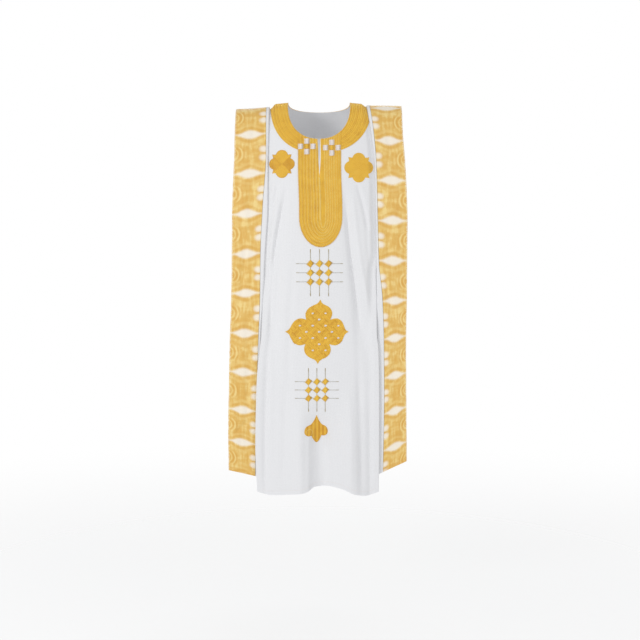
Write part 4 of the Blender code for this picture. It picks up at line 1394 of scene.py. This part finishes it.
def make_yokes():
    """The gold yoke, its tongue, and the yoke round the back of the neck."""
    gold = gold_material()
    lines = [*tongue_lines(), Row(tongue_loop(0.008), 0.0016, 0.25)]
    line_guide = guide_mesh("tongue_lines", "front", lines, LINE_LIFT)
    loop_guide = guide_mesh("tongue_loops", "front", tongue_rows(), STITCH_LIFT)
    parts = [
        stitched("tongue_loops", loop_guide, gold, Spacing=0.0021),
        stitched("tongue_lines", line_guide, gold, Spacing=0.0040, Cover=1.3, Height=0.0010, Slant=1.2),
        pad("tongue_backing", "front", tongue_outline(), gold),
    ]
    hand_over(joined("front_tongue_satin", parts, gold), "gold_stitching")

    for face, name in (("front", "front_embroidery"), ("back", "back_yoke")):
        guide = guide_mesh(name, face, yoke_rows(face), STITCH_LIFT)
        parts = [stitched(name + "_rows", guide, gold, Spacing=0.0015)]
        parts += [pad(name + "_backing", face, outline, gold) for outline in yoke_outline(face)]
        hand_over(joined(name + "_satin", parts, gold), "gold_stitching", name)


CHECKERS = ((-0.0370, -0.1355), (0.0388, -0.1394))  # middles of the two crosses of white squares
CHECKER_STEP = (0.0190, 0.0160)
CHECKER_SIZE = (0.0184, 0.0150)


def satin_square(x, z, width, height, shade):
    """A satin-stitched rectangle, as one upright row."""
    path = np.stack([np.full(12, x), np.linspace(z - height / 2, z + height / 2, 12)], axis=-1)
    return Row(path, width * 1.12, shade)


def edges_of(outline):
    return [np.array([start, end]) for start, end in zip(outline, np.roll(outline, -1, axis=0))]


def make_checkers():
    """Crosses of four white squares round a gold one, on both sides of the slit."""
    white, hearts = [], []
    for x, z in CHECKERS:
        for step_x, step_z in ((-1, 0), (1, 0), (0, -1), (0, 1)):
            place = (x + step_x * CHECKER_STEP[0], z + step_z * CHECKER_STEP[1])
            white.append(satin_square(*place, *CHECKER_SIZE, 0.60))
        hearts.append(satin_square(x, z, 0.0120, 0.0110, 0.48))
        box = np.array([(-1, -1), (1, -1), (1, 1), (-1, 1)]) * (0.0082, 0.0074) + (x, z)
        hearts.append(border(np.concatenate([rounded(side, 3) for side in edges_of(box)]), 0.0016, 0.10))
    thread = white_thread_material()
    piece = stitch_ornament("white_squares", "front", white, thread, lift=SQUARE_LIFT, Slant=0.05)
    hand_over(piece, "ground_cloth")
    gold = gold_material()
    piece = stitch_ornament("square_hearts", "front", hearts, gold, lift=SQUARE_LIFT, spacing=0.0010)
    hand_over(piece, "gold_stitching")


# Painted sheen and shade of each lobe's satin, one value a lobe by the direction of its stitches; the left
# rosette, its rows slanted, is painted darker.
ROSETTE_PAINTED_SHEEN = {"rosette_left": (0.16, 0.40, 0.24, 0.46), "rosette_right": (0.42, 0.50, 0.44, 0.52)}


def make_rosettes():
    """The two chest rosettes, each lobe filled in its own direction."""
    for name, ornament in ROSETTES.items():
        outline = lobed_outline(ornament, ROUND_LOBE, ROSETTE_SPIKE)
        slanted = name == "rosette_left"
        rows = []
        for turn in range(4):
            heading = turn * math.pi / 2

            def in_lobe(x, z):
                angle = np.arctan2(z - ornament.z, x - ornament.x) - heading
                return np.cos(angle) > math.cos(math.pi / 4)

            tint = ROSETTE_PAINTED_SHEEN[name][turn]
            lean = math.pi / 4 if slanted else 0.0
            rows += filling_rows(outline, heading + lean, 0.0034, tint, in_lobe)
        # Painted shade: the slanted rosette's outline is painted darker than the other's.
        rows.append(border(outline, 0.0016, 0.12 if slanted else 0.40, 0.02))
        piece = stitch_ornament(name + "_satin", "front", rows, gold_material(), outline)
        hand_over(piece, "gold_stitching", name)


WEAVE_CELL = 0.0270  # side of one square of the basket weave, along the diagonals
# Dots of the large quatrefoil, as whole steps from its middle to the right and up.
DOTS = (
    (0, 0), (0, 2), (0, -2), (2, 0), (-2, 0), (1, 1), (1, -1), (-1, 1), (-1, -1),
    (1, 3), (-1, 3), (1, -3), (-1, -3), (3, 1), (3, -1), (-3, 1), (-3, -1),
)
DOT_STEP = (0.0194, 0.0188)
DOT_CENTRE = (0.0005, -0.6965)
UPPER_LEAN, LOWER_LEAN = 0.11, 0.03  # how far the upper and lower lobes swing aside, for their height


def make_large_quatrefoil():
    """Diagonal satin bands that pass over and under each other, with light dots where they cross."""
    outline = lobed_outline(LARGE_QUATREFOIL, OGEE_LOBE)
    above = outline[:, 1] - LARGE_QUATREFOIL.z
    outline[:, 0] += UPPER_LEAN * np.maximum(0.0, above) + LOWER_LEAN * np.maximum(0.0, -above)
    rows = []
    for angle, over in ((math.pi / 4, 0), (-math.pi / 4, 1)):

        def on_top(x, z):
            right, up = x - DOT_CENTRE[0], z - DOT_CENTRE[1]
            first = np.floor((right + up) / WEAVE_CELL)
            second = np.floor((right - up) / WEAVE_CELL)
            return (first + second) % 2 == over

        def bands(x, z):
            across = (x - LARGE_QUATREFOIL.x) * math.sin(angle) - (z - LARGE_QUATREFOIL.z) * math.cos(angle)
            # Painted shade: rows of the second diagonal direction are painted a little darker than those of
            # the first.
            return 0.40 + 0.14 * np.sin(across * 2 * math.pi / WEAVE_CELL * 1.4) - 0.05 * over

        rows += filling_rows(outline, angle, 0.0045, bands, on_top)
    rows.append(border(outline, 0.0018, 0.36, 0.012))
    piece = stitch_ornament("quatrefoil_large_satin", "front", rows, gold_material(), outline)
    hand_over(piece, "gold_stitching", "quatrefoil_large")

    dots = []
    for right, up in DOTS:
        x, z = DOT_CENTRE[0] + right * DOT_STEP[0], DOT_CENTRE[1] + up * DOT_STEP[1]
        radius = 0.0040 if max(abs(right), abs(up)) < 3 else 0.0034
        offsets = np.linspace(-0.95, 0.95, 9)
        path = np.stack([x + offsets * radius * 0.9, z + offsets * radius * 0.3], axis=-1)
        dots.append(Row(path, 2 * radius * np.sqrt(1 - offsets**2) + 0.0006, 0.55))
    white = white_thread_material()
    piece = stitch_ornament("quatrefoil_dots", "front", dots, white, lift=UPPER_STITCH_LIFT, spacing=0.001)
    hand_over(piece, "ground_cloth")


def make_small_quatrefoil():
    """Upright satin in bands of two shades, with a dark outline and a light curl in the left lobe."""
    outline = spire_outline(SMALL_QUATREFOIL)

    def bands(x, z):
        return 0.30 + 0.24 * np.sin((x - SMALL_QUATREFOIL.x) * 2 * math.pi / 0.012 + 0.6)

    rows = filling_rows(outline, math.pi / 2, 0.0030, bands)
    rows.append(border(outline, 0.0016, 0.08, 0.03))
    angles = np.linspace(-0.3 * math.pi, 1.1 * math.pi, 30)
    curl = np.stack([np.cos(angles) * 0.0085, np.sin(angles) * 0.0085], axis=-1)
    piece = stitch_ornament("quatrefoil_small_satin", "front", rows, gold_material(), outline)
    hand_over(piece, "gold_stitching", "quatrefoil_small")
    light = [Row(curl + (SMALL_QUATREFOIL.x - 0.0215, SMALL_QUATREFOIL.z - 0.005), 0.0014, 0.95)]
    piece = stitch_ornament("small_quatrefoil_curl", "front", light, gold_material(), lift=UPPER_STITCH_LIFT)
    hand_over(piece, "gold_stitching")


def make_lattices():
    """Nine diamonds on thin crossing lines, twice."""
    for name, lattice in LATTICES.items():
        lines, diamonds = [], []
        reach = np.linspace(-lattice.arm, lattice.arm, 80)
        ends = smooth((np.abs(reach) - (lattice.arm - 0.010)) / 0.004)
        for step in (-1, 0, 1):
            offset = np.full_like(reach, step * lattice.pitch)
            upright = np.stack([lattice.x + offset, lattice.z + reach], axis=-1)
            level = np.stack([lattice.x + reach, lattice.z + offset], axis=-1)
            lines.append(Row(upright, 0.0017 + 0.0007 * ends, 0.22 - 0.2 * ends))
            lines.append(Row(level, 0.0012 + 0.0005 * ends, 0.50 - 0.3 * ends))
        shares = np.linspace(-1.0, 1.0, 21)
        for column in (-1, 0, 1):
            for row in (-1, 0, 1):
                x, z = lattice.x + column * lattice.pitch, lattice.z + row * lattice.pitch
                path = np.stack([np.full_like(shares, x), z + shares * lattice.half], axis=-1)
                breadth = 2.7 * lattice.half * (1 - np.abs(shares)) + 0.0012
                diamonds.append(Row(path, breadth, 0.50 if (column + row) % 2 else 0.34))
        piece = stitch_ornament(name + "_lines", "front", lines, line_material(), spacing=0.0020, Slant=0.9)
        hand_over(piece, "thread_lines", name)
        piece = stitch_ornament(name + "_diamonds", "front", diamonds, gold_material(), lift=DIAMOND_LIFT)
        hand_over(piece, "gold_stitching")


HEM_DEPTH = 0.013  # of the stitches above the hems


def make_hem_stitching():
    """Rows of small white stitches above the hems of front and back."""
    for face in ("front", "back"):
        x = np.linspace(-0.172, 0.172, 160)
        z = -HEM_CURVES[face](x) + HEM_DEPTH
        rows = [Row(np.stack([x, z], axis=-1), 0.0009, 0.35)]
        name, thread = "hem_stitches_" + face, white_thread_material()
        choices = {"lift": HEM_STITCH_LIFT, "spacing": 0.0034, "Cover": 0.75, "Height": 0.0006, "Slant": 0.0}
        piece = stitch_ornament(name, face, rows, thread, **choices)
        hand_over(piece, "ground_cloth")


# The studio.

CAMERA_PLACE = (0.003, -4.2, -0.35)
CAMERA_TILT = math.radians(4.37)
CAMERA_LENS = 75.5
FLOOR_HEIGHT = -1.55
FLOOR_RADIUS = 3.2


def floor_material():
    """Pale floor that fades out towards its rim."""
    material, tree, shader = new_material("pale_floor")
    place = wire(tree, "ShaderNodeTexCoord").outputs["Object"]
    flat = wire(tree, "ShaderNodeVectorMath", {0: place, 1: (1.0, 1.0, 0.0)}, operation="MULTIPLY").outputs[0]
    far = wire(tree, "ShaderNodeVectorMath", {0: flat}, operation="LENGTH").outputs["Value"]
    fade = ramp(tree, far, FLOOR_RADIUS * 0.95, FLOOR_RADIUS * 0.15)
    tree.links.new(calc(tree, "MULTIPLY", fade, 0.35), shader.inputs["Alpha"])
    shader.inputs["Base Color"].default_value = (0.90, 0.90, 0.90, 1.0)
    shader.inputs["Roughness"].default_value = 0.8
    return material


def make_studio():
    mesh = bmesh.new()
    bmesh.ops.create_circle(mesh, cap_ends=True, segments=96, radius=FLOOR_RADIUS)
    bmesh.ops.translate(mesh, verts=mesh.verts, vec=(0.0, 0.0, FLOOR_HEIGHT))
    data = bpy.data.meshes.new("floor")
    mesh.to_mesh(data)
    mesh.free()
    add_piece("floor", data, floor_material())

    world = bpy.data.worlds.new("studio")
    bpy.context.scene.world = world
    world.use_nodes = True
    tree = world.node_tree
    tree.nodes.clear()
    seen = wire(tree, "ShaderNodeLightPath").outputs["Is Camera Ray"]
    even = {"Color": (0.97, 0.98, 1.0, 1.0), "Strength": sizes().sky}
    soft = wire(tree, "ShaderNodeBackground", even).outputs[0]
    white = wire(tree, "ShaderNodeBackground", {"Color": (1.0, 1.0, 1.0, 1.0), "Strength": 1.0}).outputs[0]
    both = wire(tree, "ShaderNodeMixShader", {0: seen, 1: soft, 2: white}).outputs[0]
    wire(tree, "ShaderNodeOutputWorld", {"Surface": both})

    for name, place, size, power, target in (
        ("key", (-2.9, -2.9, 0.2), 1.4, sizes().key_light, (0.0, 0.0, -0.85)),
        ("fill", (3.0, -3.0, -0.3), 2.6, sizes().key_light * 0.57, (0.0, 0.0, -0.90)),
        ("back", (0.6, 3.4, 1.8), 2.6, sizes().key_light * 0.60, (0.0, 0.0, -0.5)),
    ):
        light = bpy.data.lights.new(name, "AREA")
        light.size = size
        light.energy = power
        lamp = bpy.data.objects.new(name, light)
        lamp.location = place
        lamp.rotation_euler = (Vector(target) - Vector(place)).to_track_quat("-Z", "Y").to_euler()
        bpy.context.scene.collection.objects.link(lamp)

    lens = bpy.data.cameras.new("camera")
    lens.lens = CAMERA_LENS
    camera = bpy.data.objects.new("camera", lens)
    camera.location = CAMERA_PLACE
    camera.rotation_euler = (math.pi / 2 - CAMERA_TILT, 0.0, 0.0)
    bpy.context.scene.collection.objects.link(camera)
    bpy.context.scene.camera = camera
    bpy.context.scene.view_settings.view_transform = "Standard"


# The add-on.


class BoubouSizes(bpy.types.PropertyGroup):
    """Sizes of the robe's cloth and embroidery, and the strength of the studio's lights"""

    ground_thickness: bpy.props.FloatProperty(
        name="Ground thickness", description="Thickness of the white cloth", default=0.0008, unit="LENGTH"
    )
    wing_thickness: bpy.props.FloatProperty(
        name="Wing thickness", description="Thickness of the golden damask", default=0.0007, unit="LENGTH"
    )
    side_thickness: bpy.props.FloatProperty(
        name="Side thickness", description="Thickness of the folded white side", default=0.0006, unit="LENGTH"
    )
    ground_threads: bpy.props.FloatProperty(
        name="Ground threads", description="Threads in a metre of the white cloth", default=1600.0
    )
    ground_stripe: bpy.props.FloatProperty(
        name="Damask stripe",
        description="Width of the faint stripe woven into the white cloth",
        default=0.009,
    )
    wing_threads: bpy.props.FloatProperty(
        name="Wing threads", description="Threads in a metre of the golden damask", default=1900.0
    )
    yoke_rows: bpy.props.IntProperty(
        name="Yoke rows", description="Rows of satin between the neckline and the yoke's edge", default=12
    )
    tongue_rows: bpy.props.IntProperty(
        name="Tongue rows", description="Loops of satin from the tongue's edge to its heart", default=16
    )
    sky: bpy.props.FloatProperty(name="Sky", description="Strength of the even light all round", default=0.61)
    key_light: bpy.props.FloatProperty(
        name="Key light", description="Power of the main lamp", default=66.0, unit="POWER"
    )


def tint(label, note, value):
    return bpy.props.FloatVectorProperty(
        name=label, description=note, default=value, subtype="COLOR", min=0.0, max=1.0
    )


class BoubouColours(bpy.types.PropertyGroup):
    """Colours of the robe's cloth and threads"""

    ground: tint("Ground", "White cotton", (0.825, 0.825, 0.835))
    wing_ground: tint("Wing ground", "Gold of the damask", (0.765, 0.475, 0.120))
    wing_light: tint("Wing light", "Light strokes of the damask", (0.89, 0.67, 0.260))
    wing_brown: tint("Wing brown", "Amber shadows of the damask", (0.70, 0.37, 0.068))
    wing_pale: tint("Wing pale", "Pale lenses and petals", (0.92, 0.86, 0.75))
    gold: tint("Gold", "Satin thread", (0.89, 0.555, 0.060))
    gold_dark: tint("Dark gold", "Darkest satin thread", (0.66, 0.32, 0.025))
    gold_light: tint("Light gold", "Palest satin thread", (0.95, 0.76, 0.28))
    line_brown: tint("Line brown", "Upright lines of the lattices", (0.42, 0.33, 0.15))
    line_grey: tint("Line grey", "Level lines of the lattices", (0.52, 0.51, 0.42))
    white_thread: tint("White thread", "Squares and dots", (0.87, 0.80, 0.76))
    white_thread_shadow: tint("White thread shadow", "Shaded white thread", (0.67, 0.55, 0.456))


class BoubouStudio(bpy.types.Operator):
    """Adds the floor, the lights and the camera"""

    bl_idname = "boubou.studio"
    bl_label = "Studio"

    def execute(self, context):
        make_studio()
        return {"FINISHED"}


class BoubouGround(bpy.types.Operator):
    """Makes the white front and back with their neck opening and turned edges"""

    bl_idname = "boubou.ground"
    bl_label = "Front and back"

    def execute(self, context):
        for face in ("front", "back"):
            make_ground(face)
        return {"FINISHED"}


class BoubouSides(bpy.types.Operator):
    """Makes the folded white sides and the layered golden wings"""

    bl_idname = "boubou.sides"
    bl_label = "Sides and wings"

    def execute(self, context):
        for side in ("left", "right"):
            make_side_fold(side)
            make_wing(side)
        return {"FINISHED"}


class BoubouYoke(bpy.types.Operator):
    """Stitches the gold yoke, its tongue and the white squares"""

    bl_idname = "boubou.yoke"
    bl_label = "Yoke and tongue"

    def execute(self, context):
        make_yokes()
        make_checkers()
        return {"FINISHED"}


class BoubouOrnaments(bpy.types.Operator):
    """Stitches the rosettes and both quatrefoils"""

    bl_idname = "boubou.ornaments"
    bl_label = "Rosettes and quatrefoils"

    def execute(self, context):
        make_rosettes()
        make_large_quatrefoil()
        make_small_quatrefoil()
        return {"FINISHED"}


class BoubouLattices(bpy.types.Operator):
    """Stitches both lattices of diamonds and lines"""

    bl_idname = "boubou.lattices"
    bl_label = "Lattices"

    def execute(self, context):
        make_lattices()
        return {"FINISHED"}


class BoubouHems(bpy.types.Operator):
    """Stitches the hems"""

    bl_idname = "boubou.hems"
    bl_label = "Hem stitching"

    def execute(self, context):
        make_hem_stitching()
        return {"FINISHED"}


STEPS = (BoubouStudio, BoubouGround, BoubouSides, BoubouYoke, BoubouOrnaments, BoubouLattices, BoubouHems)


class BoubouPanel(bpy.types.Panel):
    """Lists the steps, the sizes and the colours"""

    bl_idname = "VIEW3D_PT_boubou"
    bl_label = "Grand Boubou Robe"
    bl_space_type = "VIEW_3D"
    bl_region_type = "UI"
    bl_category = "Boubou"

    def draw(self, context):
        for step in STEPS:
            self.layout.operator(step.bl_idname)
        for group in (context.scene.boubou_sizes, context.scene.boubou_colours):
            box = self.layout.box()
            for name in group.__annotations__:
                box.prop(group, name)


CLASSES = (BoubouSizes, BoubouColours, *STEPS, BoubouPanel)


def register():
    for thing in CLASSES:
        bpy.utils.register_class(thing)
    bpy.types.Scene.boubou_sizes = bpy.props.PointerProperty(type=BoubouSizes)
    bpy.types.Scene.boubou_colours = bpy.props.PointerProperty(type=BoubouColours)


def unregister():
    del bpy.types.Scene.boubou_colours
    del bpy.types.Scene.boubou_sizes
    for thing in reversed(CLASSES):
        bpy.utils.unregister_class(thing)


def main():
    register()
    for step in STEPS:
        group, name = step.bl_idname.split(".")
        getattr(getattr(bpy.ops, group), name)()


if __name__ == "__main__":
    main()
